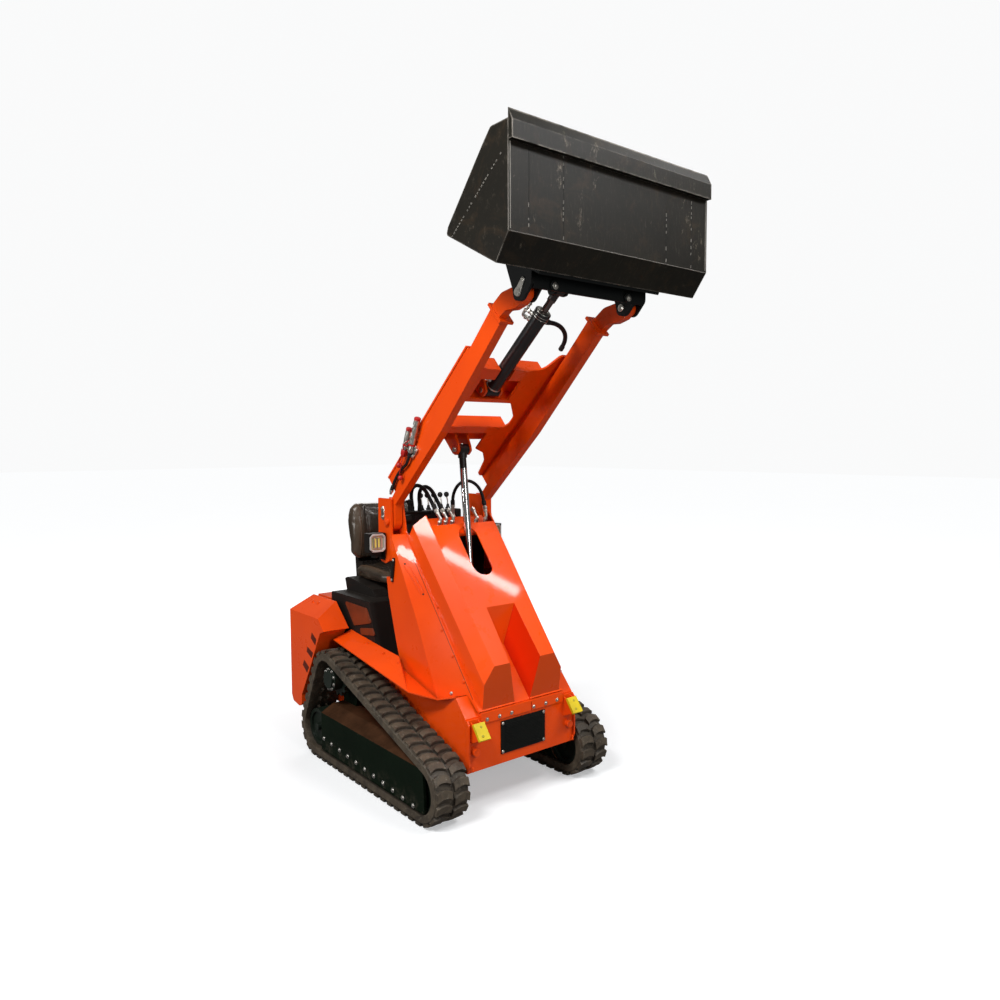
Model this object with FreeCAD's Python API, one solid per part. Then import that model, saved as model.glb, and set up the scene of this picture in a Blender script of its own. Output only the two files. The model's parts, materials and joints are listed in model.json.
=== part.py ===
import FreeCAD, Part
import math, os

# Mini track loader. Millimetres. +Z up, the machine faces -Y, +X is the operator's left.
# Design frame: y = 0 at the middle of the track contact, z = 0 at the ground.
# Everything is moved by Y_SHIFT on export, so that the origin is the middle of the whole footprint at ground.
Y_SHIFT = 216.0

# ---- driving dimensions -------------------------------------------------------------------------------
TRACK_OUT = 525.0          # half the overall width over the tracks
TRACK_W = 180.0            # track width
R_TIP = 157.0              # radius at the lug tips round an idler
R_BELT = 141.0             # radius at the outside of the belt
R_BELT_IN = 102.0          # radius at the inside of the belt
IDLER_F = (-520.0, 157.0)  # front idler centre (y, z)
IDLER_R = (514.0, 157.0)   # rear idler centre
SPROCKET = (368.0, 452.0)  # drive sprocket centre

PIVOT = (45.0, 1300.0)     # loader arm pivot
HITCH = (-985.0, 2280.0)   # hitch pin, boom raised
LIFT_TOP = (-155.0, 1660.0)
LIFT_BASE = (-297.0, 300.0)
TILT_BASE = (-390.0, 1942.0)
TILT_TOP = (-862.0, 2345.0)

A0 = (-220.0, 1578.0)      # reference point on the front-lower face of the arm beams
AD = (-0.7493, 0.6622)     # direction along the arms, towards the hitch
AN = (0.6622, 0.7493)      # normal of the arms, towards the operator and up
ARM_OUT = 304.0            # outer face of an arm beam
ARM_IN = 262.0             # inner face of an arm beam
ARM_DEPTH = 91.0
NP = 137.0                 # front face of the crossmember plate, above the beams' front-lower face

HOOD_P = (-458.0, 912.0)   # a point on the sloping hood face
HOOD_D = (-0.6247, -0.7809)  # direction down the slope
HOOD_N = (-0.7809, 0.6247)   # outward normal of the slope

PANEL_Y = -623.0           # front face of the front panel
PANEL_X = 328.0            # half width of the chassis
BUCKET_X = 564.0           # half width of the bucket
PLATE = 10.0

V = FreeCAD.Vector
os.makedirs("parts", exist_ok=True)
NODES = {}


# ---- helpers -------------------------------------------------------------------------------------------
def wire(pts, rad=None, place=None):
    """Closed wire through 2-D points; rad is one radius or a list, one per corner. place maps (a, b) to 3-D."""
    n = len(pts)
    if rad is None:
        rad = [0.0] * n
    elif not isinstance(rad, (list, tuple)):
        rad = [float(rad)] * n
    segs = []
    corners = []
    for i in range(n):
        p0, p1, p2 = pts[i - 1], pts[i], pts[(i + 1) % n]
        r = rad[i]
        a = (p0[0] - p1[0], p0[1] - p1[1])
        b = (p2[0] - p1[0], p2[1] - p1[1])
        la, lb = math.hypot(*a), math.hypot(*b)
        a = (a[0] / la, a[1] / la)
        b = (b[0] / lb, b[1] / lb)
        c = max(-1.0, min(1.0, a[0] * b[0] + a[1] * b[1]))
        ang = math.acos(c)
        if r <= 0 or ang > math.pi - 1e-4:
            corners.append((p1, None, p1))
            continue
        t = r / math.tan(ang / 2)
        t = min(t, 0.49 * la, 0.49 * lb)
        r = t * math.tan(ang / 2)
        s = (p1[0] + a[0] * t, p1[1] + a[1] * t)
        e = (p1[0] + b[0] * t, p1[1] + b[1] * t)
        bis = (a[0] + b[0], a[1] + b[1])
        lbis = math.hypot(*bis)
        bis = (bis[0] / lbis, bis[1] / lbis)
        h = r / math.sin(ang / 2)
        m = (p1[0] + bis[0] * (h - r), p1[1] + bis[1] * (h - r))
        corners.append((s, m, e))
    edges = []
    for i in range(n):
        s, m, e = corners[i]
        if m is not None:
            edges.append(Part.Arc(place(*s), place(*m), place(*e)).toShape())
        nx = corners[(i + 1) % n][0]
        if math.hypot(nx[0] - e[0], nx[1] - e[1]) > 1e-6:
            edges.append(Part.LineSegment(place(*e), place(*nx)).toShape())
    return Part.Wire(edges)


def yz(pts, x0, x1, rad=None):
    """Prism with a section in the YZ plane, from x0 to x1."""
    w = wire(pts, rad, lambda a, b: V(x0, a, b))
    return Part.Face(w).extrude(V(x1 - x0, 0, 0))


def xy(pts, z0, z1, rad=None):
    w = wire(pts, rad, lambda a, b: V(a, b, z0))
    return Part.Face(w).extrude(V(0, 0, z1 - z0))


def xz(pts, y0, y1, rad=None):
    w = wire(pts, rad, lambda a, b: V(a, y0, b))
    return Part.Face(w).extrude(V(0, y1 - y0, 0))


def box(x0, x1, y0, y1, z0, z1):
    return Part.makeBox(x1 - x0, y1 - y0, z1 - z0, V(x0, y0, z0))


def cylx(x0, x1, y, z, r):
    return Part.makeCylinder(r, x1 - x0, V(x0, y, z), V(1, 0, 0))


def cyl(p, q, r):
    p, q = V(*p), V(*q)
    return Part.makeCylinder(r, (q - p).Length, p, q - p)


def mirror(s):
    return s.mirror(V(0, 0, 0), V(1, 0, 0))


def fuse(*shapes):
    s = shapes[0].fuse(list(shapes[1:])) if len(shapes) > 1 else shapes[0]
    return s.removeSplitter()


def comp(*shapes):
    return Part.makeCompound(list(shapes))


def arm(s, n):
    """(y, z) of a point given along and across the arms."""
    return (A0[0] + AD[0] * s + AN[0] * n, A0[1] + AD[1] * s + AN[1] * n)


def hood(s, n):
    """(y, z) of a point given down the hood slope from HOOD_P and out from it."""
    return (HOOD_P[0] + HOOD_D[0] * s + HOOD_N[0] * n, HOOD_P[1] + HOOD_D[1] * s + HOOD_N[1] * n)


def plane_prism(pts, origin, d, n, n0, n1, rad=None):
    """Prism whose section is given as (x, s): s along d from origin, thickness from n0 to n1 along n."""
    def place(x, s):
        return V(x, origin[0] + d[0] * s + n[0] * n0, origin[1] + d[1] * s + n[1] * n0)
    w = wire(pts, rad, place)
    t = n1 - n0
    return Part.Face(w).extrude(V(0, n[0] * t, n[1] * t))


def armplate(pts, n0, n1, rad=None):
    return plane_prism(pts, A0, AD, AN, n0, n1, rad)


def hoodplate(pts, n0, n1, rad=None):
    return plane_prism(pts, HOOD_P, HOOD_D, HOOD_N, n0, n1, rad)


def save(name, shape):
    NODES[name] = shape.copy()


# fixed neighbours that are notched round one another: (piece, pieces that stay whole)
NOTCHED = [
    ("hood", ("loader_towers", "chassis_frame", "front_panel", "bulkhead_plate", "side_latch_bars")),
    ("front_panel", ("chassis_frame", "arm_stop_pads")),
    ("hitch_plate", ("bucket_shell",)),
    ("arm_crossmembers", ("loader_arms",)),
    ("track_wings", ("chassis_frame", "seat_base", "seat_inset_panels", "hood", "rear_fenders")),
    ("seat_base", ("rear_cover", "seat_cushion", "seat_backrest")),
    ("rear_cover", ("chassis_frame",)),
]


def export_all():
    for name, others in NOTCHED:
        s = NODES[name]
        for o in others:
            if s.BoundBox.intersect(NODES[o].BoundBox):
                s = s.cut(NODES[o])
        NODES[name] = s
    for name, s in NODES.items():
        s = s.copy()
        s.translate(V(0, Y_SHIFT, 0))
        NODES[name] = s
        s.exportStep("parts/%s.step" % name)


def both(shape):
    return comp(shape, mirror(shape))


# ---- undercarriage -------------------------------------------------------------------------------------
def belt_path(r):
    """Samples of the loop at radius r round the three wheels: list of (point, outward normal, arc length)."""
    c = [IDLER_F, SPROCKET, IDLER_R]   # front, top, rear: run front -> top -> rear -> front
    out = []
    n = len(c)
    tang = []
    for i in range(n):
        a, b = c[i], c[(i + 1) % n]
        dx, dz = b[0] - a[0], b[1] - a[1]
        l = math.hypot(dx, dz)
        nrm = (-dz / l, dx / l)        # left-hand normal of front -> top points up and forward: outward
        tang.append((a, b, nrm, l))
    return tang


def loop_wire(r, x):
    t = belt_path(r)
    edges = []
    for i in range(3):
        a, b, nrm, l = t[i]
        p = V(x, a[0] + nrm[0] * r, a[1] + nrm[1] * r)
        q = V(x, b[0] + nrm[0] * r, b[1] + nrm[1] * r)
        edges.append(Part.LineSegment(p, q).toShape())
        nn = t[(i + 1) % 3][2]
        s = V(x, b[0] + nn[0] * r, b[1] + nn[1] * r)
        mid = (nrm[0] + nn[0], nrm[1] + nn[1])
        lm = math.hypot(*mid)
        m = V(x, b[0] + mid[0] / lm * r, b[1] + mid[1] / lm * r)
        edges.append(Part.Arc(q, m, s).toShape())
    return Part.Wire(edges)


def track(x0, x1):
    """The belt with its lugs as a notched outline; the lugs are LUGS in number."""
    LUGS = 52
    t = belt_path(R_BELT)
    segs = []
    total = 0.0
    for i in range(3):
        a, b, nrm, l = t[i]
        segs.append(("line", a, b, nrm, l))
        total += l
        nn = t[(i + 1) % 3][2]
        a0 = math.atan2(nrm[1], nrm[0])
        a1 = math.atan2(nn[1], nn[0])
        d = (a0 - a1) % (2 * math.pi)
        segs.append(("arc", b, a0, d, R_BELT * d))
        total += R_BELT * d

    def at(s):
        s %= total
        for g in segs:
            l = g[4]
            if s <= l + 1e-9:
                if g[0] == "line":
                    _, a, b, nrm, ll = g
                    u = s / ll
                    c = (a[0] + (b[0] - a[0]) * u, a[1] + (b[1] - a[1]) * u)
                    return c, nrm
                _, c, a0, d, ll = g
                ang = a0 - d * (s / ll)
                return c, (math.cos(ang), math.sin(ang))
            s -= l
        return at(0.0)

    pitch = total / LUGS
    base = Part.Face(loop_wire(R_BELT, x0)).extrude(V(x1 - x0, 0, 0))
    hole = Part.Face(loop_wire(R_BELT_IN, x0 - 1)).extrude(V(x1 - x0 + 2, 0, 0))
    body = base.cut(hole)
    lugs = []
    for k in range(LUGS):
        s = (k + 0.5) * pitch
        c, nrm = at(s)
        tg = (-nrm[1], nrm[0])
        r0, r1 = R_BELT - 6.0, R_TIP
        w0, w1 = 19.5, 17.0
        pts = []
        for r, w in ((r0, -w0), (r1, -w1), (r1, w1), (r0, w0)):
            pts.append((c[0] + nrm[0] * r + tg[0] * w, c[1] + nrm[1] * r + tg[1] * w))
        lugs.append(yz(pts, x0 + 4.0, x1 - 4.0))
    body = body.fuse(lugs)
    # flat contact: nothing below the ground plane
    body = body.cut(box(x0 - 5, x1 + 5, -900, 900, -20, 0))
    return body


XT0, XT1 = -TRACK_OUT, -TRACK_OUT + TRACK_W
track_r = track(XT0, XT1)
save("track_right", track_r)
save("track_left", mirror(track_r))

# track frame: guarded box beam with a sloping top, its motor plate and the tube to the chassis
FX0, FX1 = XT0 + 8.0, XT1 - 12.0
frame_sec = [(FX0, 62), (FX1, 62), (FX1, 300), (FX0 + 70, 300), (FX0, 262)]
fr = xz(frame_sec, -560.0, 428.0)
for c in (IDLER_F, IDLER_R):
    fr = fr.cut(cylx(FX0 + 14, FX1 + 1, c[0], c[1], 104.0))
# clear the belt where it turns up over the sloping run
fr = fr.cut(yz([(-700, 40), (-700, 330), (-590, 330), (-548, 262), (-560, 120), (-560, 40)], FX0 - 1, FX1 + 1))
keep = Part.Face(loop_wire(R_BELT_IN - 4.0, FX0 - 1)).extrude(V(FX1 - FX0 + 2, 0, 0))
fr = fr.common(keep)
motor_plate = yz([(300, 280), (430, 280), (440, 380), (436, 510), (300, 512), (270, 400)], FX1 - 22.0, FX1, 25.0)
tube = box(FX1 - 6, -PANEL_X, -260, -140, 225, 290)
tube2 = box(FX1 - 6, -PANEL_X, 180, 300, 225, 290)
fr = fr.fuse([motor_plate, tube, tube2]).removeSplitter()
save("track_frames", both(fr))

# sprockets with their hubs
def sprocket():
    y, z = SPROCKET
    pts = []
    teeth = 13
    for k in range(teeth):
        for f, r in ((-0.25, 84.0), (-0.12, 97.0), (0.12, 97.0), (0.25, 84.0)):
            a = 2 * math.pi * (k + f) / teeth
            pts.append((y + r * math.cos(a), z + r * math.sin(a)))
    x = (XT0 + XT1) / 2
    s = yz(pts, x - 12, x + 12)
    hub = cylx(XT0 + 30, FX1 - 22.0, y, z, 62.0)
    cap = cylx(XT0 + 18, XT0 + 32, y, z, 46.0)
    return fuse(s, hub, cap)


sp = sprocket()
save("drive_sprockets", both(sp))


def wheel(c, r, x0, x1):
    w = cylx(x0, x1, c[0], c[1], r)
    w = w.cut(cylx(x0 - 1, x0 + 12, c[0], c[1], r - 18)).cut(cylx(x1 - 12, x1 + 1, c[0], c[1], r - 18))
    return w


xm = (XT0 + XT1) / 2
idl = comp(
    fuse(wheel(IDLER_F, 98.0, FX0 + 22, FX1 - 6), cylx(FX0 + 14.0, FX1, IDLER_F[0], IDLER_F[1], 20)),
    fuse(wheel(IDLER_R, 98.0, FX0 + 22, FX1 - 6), cylx(FX0 + 14.0, FX1, IDLER_R[0], IDLER_R[1], 20)),
)
save("idlers", both(idl))

# ---- chassis ------------------------------------------------------------------------------------------
cf = box(-PANEL_X, PANEL_X, -612, 560, 216, 226)                      # belly plate
cf = cf.fuse([
    yz([(-612, 216), (560, 216), (560, 545), (-70, 545), (-130, 470), (-388, 494), (-541, 542), (-612, 462)], -PANEL_X, -PANEL_X + PLATE),
    yz([(-612, 216), (560, 216), (560, 545), (-70, 545), (-130, 470), (-388, 494), (-541, 542), (-612, 462)], PANEL_X - PLATE, PANEL_X),
    yz([(-612, 452), (-612, 462), (-541, 542), (-388, 494), (-388, 488), (-540, 535), (-606, 452)], -PANEL_X, PANEL_X).cut(box(-230, 230, -640, -380, 440, 560)),
    box(-PANEL_X, PANEL_X, 550, 560, 216, 545),                       # rear plate
    yz([(LIFT_BASE[0] - 45, 226), (LIFT_BASE[0] + 45, 226), (LIFT_BASE[0] + 34, LIFT_BASE[1] + 20), (LIFT_BASE[0] + 12, LIFT_BASE[1] + 34),
        (LIFT_BASE[0] - 12, LIFT_BASE[1] + 34), (LIFT_BASE[0] - 34, LIFT_BASE[1] + 20)], -46, -30, 8.0),
    yz([(LIFT_BASE[0] - 45, 226), (LIFT_BASE[0] + 45, 226), (LIFT_BASE[0] + 34, LIFT_BASE[1] + 20), (LIFT_BASE[0] + 12, LIFT_BASE[1] + 34),
        (LIFT_BASE[0] - 12, LIFT_BASE[1] + 34), (LIFT_BASE[0] - 34, LIFT_BASE[1] + 20)], 30, 46, 8.0),
])
cf = cf.cut(cylx(-60, 60, LIFT_BASE[0], LIFT_BASE[1], 15.05)).removeSplitter()
save("chassis_frame", cf)
save("lift_base_pin", cylx(-58, 58, LIFT_BASE[0], LIFT_BASE[1], 15.0))

# front panel: plate with side flanges, grille opening, bolted top strip in two pieces, tie-down bosses
fp = box(-PANEL_X, PANEL_X, PANEL_Y, PANEL_Y + 11, 216, 457)
fp = fp.cut(box(-120, 120, PANEL_Y - 1, PANEL_Y + 12, 275, 400))
for sx in (-1, 1):
    fl = yz([(PANEL_Y - 14, 250), (PANEL_Y + 2, 216), (PANEL_Y + 2, 457), (PANEL_Y - 14, 440)], 0, 8)
    fl.translate(V(PANEL_X - 8 if sx > 0 else -PANEL_X, 0, 0))
    boss = Part.makeCylinder(17, 22, V(sx * 288.0, PANEL_Y - 22, 310), V(0, 1, 0))
    boss = boss.cut(Part.makeCylinder(8, 12, V(sx * 288.0, PANEL_Y - 23, 310), V(0, 1, 0)))
    fp = fp.fuse([fl, boss])
gp = box(-135, 135, PANEL_Y - 5, PANEL_Y, 261, 414)
save("front_grille_plate", gp)

# stop pads that the lowered arms come down on: sloping yellow plates across each beam's width, on folded brackets
def pad():
    u = (-0.6143, -0.7891)    # down along the pad face
    w = (-0.7891, 0.6143)     # out of the pad face
    c = (-680.5, 419.0)       # middle of the pad face
    def q(a, b):
        return (c[0] + u[0] * a + w[0] * b, c[1] + u[1] * a + w[1] * b)
    p = yz([q(-40, -14), q(40, -14), q(40, -1), q(-40, -1)], -316, -255)
    side = [(PANEL_Y, 352), (PANEL_Y, 449), q(-36, -14), q(36, -14)]
    br = yz(side, -311, -304).fuse([yz(side, -267, -260), yz([q(-36, -14), q(36, -14), q(36, -20), q(-36, -20)], -304, -267)])
    return p, br


pd, br = pad()
save("arm_stop_pads", both(pd))
fp = fp.fuse([br, mirror(br)]).removeSplitter()
save("front_panel", fp)

# ---- hood: raised middle with chamfered flanks, side panels under the arms, two bumps with a slot between,
# oblong hole for the lift rod ------------------------------------------------------------------------------
S_CHEEK = -541.0   # up the slope to the top of the cheeks
S_TOP = -478.0     # up the slope to the top edge between the cheeks
S_BOT = 292.0      # down the slope to the top of the bumps' front faces
X_TOP, X_LOW = 202.0, 184.0     # half width of the raised face at the top and at the bottom
CH_X, CH_N = 54.0, 57.0         # chamfer, across and down
SH = -140.0        # top of the side panels, below the raised face
SIDE_X = 318.0     # outer face of the side panels


def loft_sections(secs, t):
    """Solid through sections given as (s, [(x, n), ...]) on the hood's slope."""
    ws = []
    for sv, pts in secs:
        vs = []
        for x, n in pts:
            y, z = hood(sv, n)
            vs.append(V(x, y, z))
        ws.append(Part.makePolygon(vs + [vs[0]]))
    return Part.makeLoft(ws, True, True)


def hood_mid(t):
    xt0, xt1 = X_TOP - 0.4 * t, X_LOW - 0.4 * t
    def sec(x):
        return [(-x - CH_X - 0.4 * t, -700), (-x - CH_X - 0.4 * t, -CH_N - 0.4 * t), (-x, -t), (x, -t), (x + CH_X + 0.4 * t - 0.8 * t, -CH_N - 0.4 * t), (x + CH_X + 0.4 * t - 0.8 * t, -700)]
    def sec2(x):
        w = x + CH_X - 0.6 * t
        return [(-w, -700), (-w, -CH_N - 0.4 * t), (-x, -t), (x, -t), (w, -CH_N - 0.4 * t), (w, -700)]
    k = (X_LOW - X_TOP) / (S_BOT - S_CHEEK)
    lo = loft_sections([(S_CHEEK - 200, sec2(xt0 - 200 * k)), (S_BOT + 300, sec2(xt1 + 300 * k))], t)
    top = hood(S_CHEEK + t, -t)
    bot = hood(S_BOT, -t)
    prof = [top, bot, (-632 + t, 603), (-616 + t, 475), (-612 + t, 452 - (40 if t else 0)), (-150, 452 - (40 if t else 0)), (0 - t, 640), (0 - t, 1236 - t), (-56, 1236 - t)]
    return yz(prof, -262, 262).common(lo)


def hood_side(t):
    def sec(nA):
        return [(-SIDE_X + t, -900), (-SIDE_X + t, nA - 0.6 * t), (-257 + 0.3 * t, SH - t), (257 - 0.3 * t, SH - t), (SIDE_X - t, nA - 0.6 * t), (SIDE_X - t, -900)]
    lo = loft_sections([(-620, sec(-158)), (-351, sec(-200)), (-99, sec(-240)), (252, sec(-317)), (520, sec(-380))], t)
    a = hood(438, SH - t)
    if t:
        prof = [(28 - t, 1236 - t), (-19.5 - 2, 1236 - t), a, (-609, 470), (-541, 535), (-388, 470), (-130, 440), (-76, 550), (-22, 700), (45, 926), (60, 1010), (-7, 1010), (-7, 1112), (28 - t, 1112)]
    else:
        prof = [(28, 1236), (-19.5, 1236), a, (-616, 478), (-541, 544), (-388, 496), (-130, 472), (-70, 555), (-16, 707), (51, 926), (68, 1018), (0, 1018), (0, 1105), (28, 1105)]
    return yz(prof, -330, 330).common(lo)


mid_o, side_o = hood_mid(0.0), hood_side(0.0)
print("hood mid", mid_o.isValid(), mid_o.Volume / 1e6, "side", side_o.isValid(), side_o.Volume / 1e6)
ho = mid_o.fuse(side_o)
hi = hood_mid(7.0).fuse(hood_side(7.0))
SLOT_N = -145.0    # floor of the slot, below the raised face


def slot_block(g, n0, n1):
    """Space between the bumps: walls closing in towards the floor, top end wall leaning; grown by g."""
    v = []
    for n in (n0, n1):
        st = -0.966 * n - g
        for sx, sv in ((-1, st), (1, st), (1, 700.0), (-1, 700.0)):
            y, z = hood(sv, n)
            v.append(V(sx * (86.0 + 0.02414 * sv + 0.3486 * n + g), y, z))
    fs = [(0, 1, 2, 3), (4, 5, 6, 7), (0, 1, 5, 4), (1, 2, 6, 5), (2, 3, 7, 6), (3, 0, 4, 7)]
    sh = Part.makeShell([Part.Face(Part.makePolygon([v[i] for i in f] + [v[f[0]]])) for f in fs])
    so = Part.makeSolid(sh)
    if so.Volume < 0:
        so.reverse()
    return so


slot = slot_block(0.0, SLOT_N, 60.0)
slot_w = slot_block(7.4, SLOT_N - 7, 60.0)
hood_s = ho.cut(hi.cut(slot_w))
hood_s = hood_s.cut(slot)
hole = hoodplate([(-58, -455), (58, -455), (58, -172), (-58, -172)], -60, 60, 56.0)
hood_s = hood_s.cut(hole)
recess = hoodplate([(-196, -478), (196, -478), (196, -760), (-196, -760)], -300, 60)
hood_s = hood_s.cut(recess)
# the open back between the cheeks
hood_s = hood_s.cut(box(-196, 196, -110, 40, 1150, 1400))
# bolted flange over the top of the front panel, in two lengths
flange = box(-252, 252, PANEL_Y - 6, PANEL_Y, 428, 477).fuse(box(-252, 252, PANEL_Y, -604, 457, 477))
flange = flange.cut(box(46, 50, PANEL_Y - 7, PANEL_Y, 420, 470))
hood_s = hood_s.fuse(flange)
hood_s = hood_s.removeSplitter()
print("hood solids", len(hood_s.Solids), hood_s.Volume)
if len(hood_s.Solids) > 1:
    big = sorted(hood_s.Solids, key=lambda q: -q.Volume)
    print("hood parts", [round(q.Volume) for q in big])
    hood_s = big[0]
save("hood", hood_s)

# tray behind the hood's top edge with a raised back, where the hose fittings stand
bp = yz([(-165, 1222), (-78, 1222), (-78, 1268), (-52, 1304), (-62, 1311), (-90, 1272), (-90, 1230), (-165, 1230)], -196, 196)
save("bulkhead_plate", bp)

# ---- loader towers ------------------------------------------------------------------------------------
def tower():
    outer = yz([(13, 1416), (138, 1416), (138, 1130), (118, 1094), (70, 1086), (40, 1100), (13, 1130)], -319, -309, [6, 6, 10, 24, 24, 14, 8])
    inner = yz([(13, 1416), (138, 1416), (138, 1100), (30, 1100), (-60, 1180), (-20, 1250)], -256, -246, [6, 6, 6, 6, 10, 20])
    back = box(-309, -256, 128, 138, 1100, 1330)
    front = yz([(13, 1100), (13, 1212), (23, 1212), (23, 1100)], -309, -256)
    t = fuse(outer, inner, back, front)
    for x in (-319, -256):
        pass
    t = t.cut(cylx(-330, -240, PIVOT[0], PIVOT[1], 20.05))
    return t


tw = tower()
save("loader_towers", both(tw))

# ---- wings over the tracks ------------------------------------------------------------------------------
def tri_sheet(pts, tris, t):
    """Folded sheet: triangles over points, each t thick downwards."""
    out = []
    for a, b, c in tris:
        w = Part.makePolygon([V(*pts[a]), V(*pts[b]), V(*pts[c]), V(*pts[a])])
        out.append(Part.Face(w).extrude(V(0, 0, -t)))
    return out[0].fuse(out[1:]).removeSplitter()


def wing():
    pts = {
        "i0": (-337, 416, 687), "i1": (-337, 98, 654), "i2": (-337, -72, 640), "i3": (-329, -110, 575), "i4": (-329, -388, 503),
        "o0": (-440, 424, 648), "o1": (-440, -314, 541), "o2": (-370, -458, 526), "o3": (-329, -541, 549),
    }
    return tri_sheet(pts, [("i0", "i1", "o0"), ("i1", "o1", "o0"), ("i1", "i2", "o1"), ("i2", "i3", "o1"), ("i3", "i4", "o1"), ("i4", "o2", "o1"), ("i4", "o3", "o2")], 6.0)


wr = wing()
print("wing", wr.isValid(), len(wr.Solids))
save("track_wings", both(wr))

# ---- rear fenders ----------------------------------------------------------------------------------------
def fender():
    side = [(800, 762), (516, 763), (424, 696), (442, 669), (560, 470), (668, 300), (672, 243), (700, 228), (780, 240), (800, 275)]
    f = yz(side, -515, -366, [10, 6, 6, 6, 20, 20, 14, 20, 20, 14])
    top = yz([(800, 700), (800, 828), (526, 828), (387, 704), (424, 690)], -515, -366)
    f = f.fuse(top).removeSplitter()
    # chamfer along the outer top
    ch = xz([(-516, 762), (-516, 900), (-372, 900), (-372, 828)], 300, 900)
    f = f.cut(ch)
    hollow = yz([(790, 290), (790, 740), (575, 740), (540, 700), (620, 560), (700, 420), (720, 300)], -505, -376)
    f = f.cut(hollow)
    return f.fuse([box(-374, -340, 700, 760, 640, 652), box(-374, -340, 740, 780, 330, 342)])


fe = fender()
print("fender", len(fe.Solids))
save("rear_fenders", both(fe))
rc = yz([(560, 250), (800, 250), (800, 828), (642, 828), (642, 699), (562, 560), (560, 560)], -340, 340)
rc = rc.cut(yz([(550, 262), (788, 262), (788, 816), (654, 816), (654, 696), (572, 554), (550, 554)], -328, 328))
save("rear_cover", rc)

save("engine_block", box(-200, 200, 240, 540, 226, 700))

# ---- seat base, seat, floor -----------------------------------------------------------------------------
sb = yz([(215, 866), (640, 866), (640, 700), (560, 562), (130, 562)], -336, 336, 12)
sb = sb.cut(yz([(225, 854), (628, 854), (628, 704), (550, 540), (140, 540)], -324, 324))
tray = yz([(300, 866), (620, 866), (640, 930), (618, 939), (560, 939), (330, 905)], -250, 250)
back = yz([(617, 860), (690, 925), (713, 1188), (713, 1300), (701, 1300), (701, 1190), (663, 1018), (617, 1018)], -150, 150)
sb = sb.fuse([tray, back]).removeSplitter()
save("seat_base", sb)
ins = comp(yz([(240, 830), (480, 834), (375, 715), (190, 760)], -341, -336, 10),
           yz([(180, 735), (315, 712), (300, 680), (150, 700)], -341, -336, 10))
save("seat_inset_panels", both(ins))
cu = yz([(250, 940), (600, 940), (612, 1000), (560, 1020), (280, 1010), (240, 985)], -225, 225, 18)
save("seat_cushion", cu)
bk = yz([(590, 1022), (660, 1022), (700, 1190), (700, 1300), (660, 1368), (600, 1368), (575, 1290), (560, 1150)], -225, 225, 20)
save("seat_backrest", bk)
save("inner_panels", comp(box(-318, 318, -20, 125, 547, 555), box(-225, 225, -40, -34, 226, 1222)))

co = yz([(64, 1180), (170, 1180), (170, 1318), (122, 1340), (64, 1340)], -150, 150, 10)
co = co.fuse(box(-246, 246, 96, 128, 1152, 1182)).removeSplitter()
save("console", co)

# grab bar with a star knob and a round grip, carried by the right tower
lv = cyl((-245.2, 24, 1342), (-66, 24, 1332), 8)
lv = lv.fuse([cyl((-205, 24, 1338), (-205, 24, 1396), 5), cyl((-205, 24, 1388), (-205, 24, 1404), 15), cylx(-233, -194, 38, 1304, 23)]).removeSplitter()
save("control_levers", lv)

# bent hose fittings standing on the tray: (x, top end, bend)
ELBOWS = [((-132, -104, 1362), (-116, -128, 1312)), ((-95, -104, 1362), (-79, -128, 1312)), ((-54, -104, 1362), (-38, -128, 1312)),
          ((96, -104, 1360), (114, -128, 1306)), ((170, -118, 1366), (174, -128, 1312))]


def elbow(a, b):
    c = (b[0] - 12, -118, 1262)
    e = cyl(a, b, 8).fuse([cyl(b, c, 8), Part.makeSphere(8.4, V(*b)), cyl((c[0], -118, 1230), (c[0], -118, 1264), 9.5), Part.makeSphere(9.5, V(c[0], -118, 1264))])
    return e.removeSplitter()


port = cyl((20, -56.4, 1308.4), (20, -42, 1329), 7.5).fuse([Part.makeSphere(9, V(20, -42, 1329)), cyl((20, -42, 1329), (20, -42, 1372), 9)]).removeSplitter()
fit = [elbow(a, b) for a, b in ELBOWS] + [port]
save("hydraulic_fittings", comp(*fit))


# hoses: straight runs joined by tangent arcs
def hose(name, pts, d):
    P = [V(*q) for q in pts]
    k = len(P)
    edges, start, length, radii = [], P[0], 0.0, []
    for i in range(1, k - 1):
        a, b = P[i - 1] - P[i], P[i + 1] - P[i]
        la, lb = a.Length, b.Length
        a.normalize()
        b.normalize()
        turn = math.pi - a.getAngle(b)
        t = 0.45 * min(la, lb)
        r = t / math.tan(turn / 2)
        radii.append(round(r / d, 1))
        p0, p1 = P[i] + a * t, P[i] + b * t
        bis = (a + b)
        bis.normalize()
        mid = P[i] + bis * (math.hypot(r, t) - r)
        edges.append(Part.LineSegment(start, p0).toShape())
        edges.append(Part.Arc(p0, mid, p1).toShape())
        length += (p0 - start).Length + r * turn
        start = p1
    edges.append(Part.LineSegment(start, P[-1]).toShape())
    length += (P[-1] - start).Length
    w = Part.Wire(edges)
    c = Part.Wire(Part.Circle(P[0], P[1] - P[0], d / 2).toShape())
    s = w.makePipeShell([c], True, False)
    v0 = math.pi * d * d / 4 * length
    print("hose %-18s length %.1f volume ratio %.4f radii/d %s solids %d valid %s" % (name, length, abs(s.Volume) / v0, radii, len(s.Solids), s.isValid()))
    save(name, s)


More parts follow.
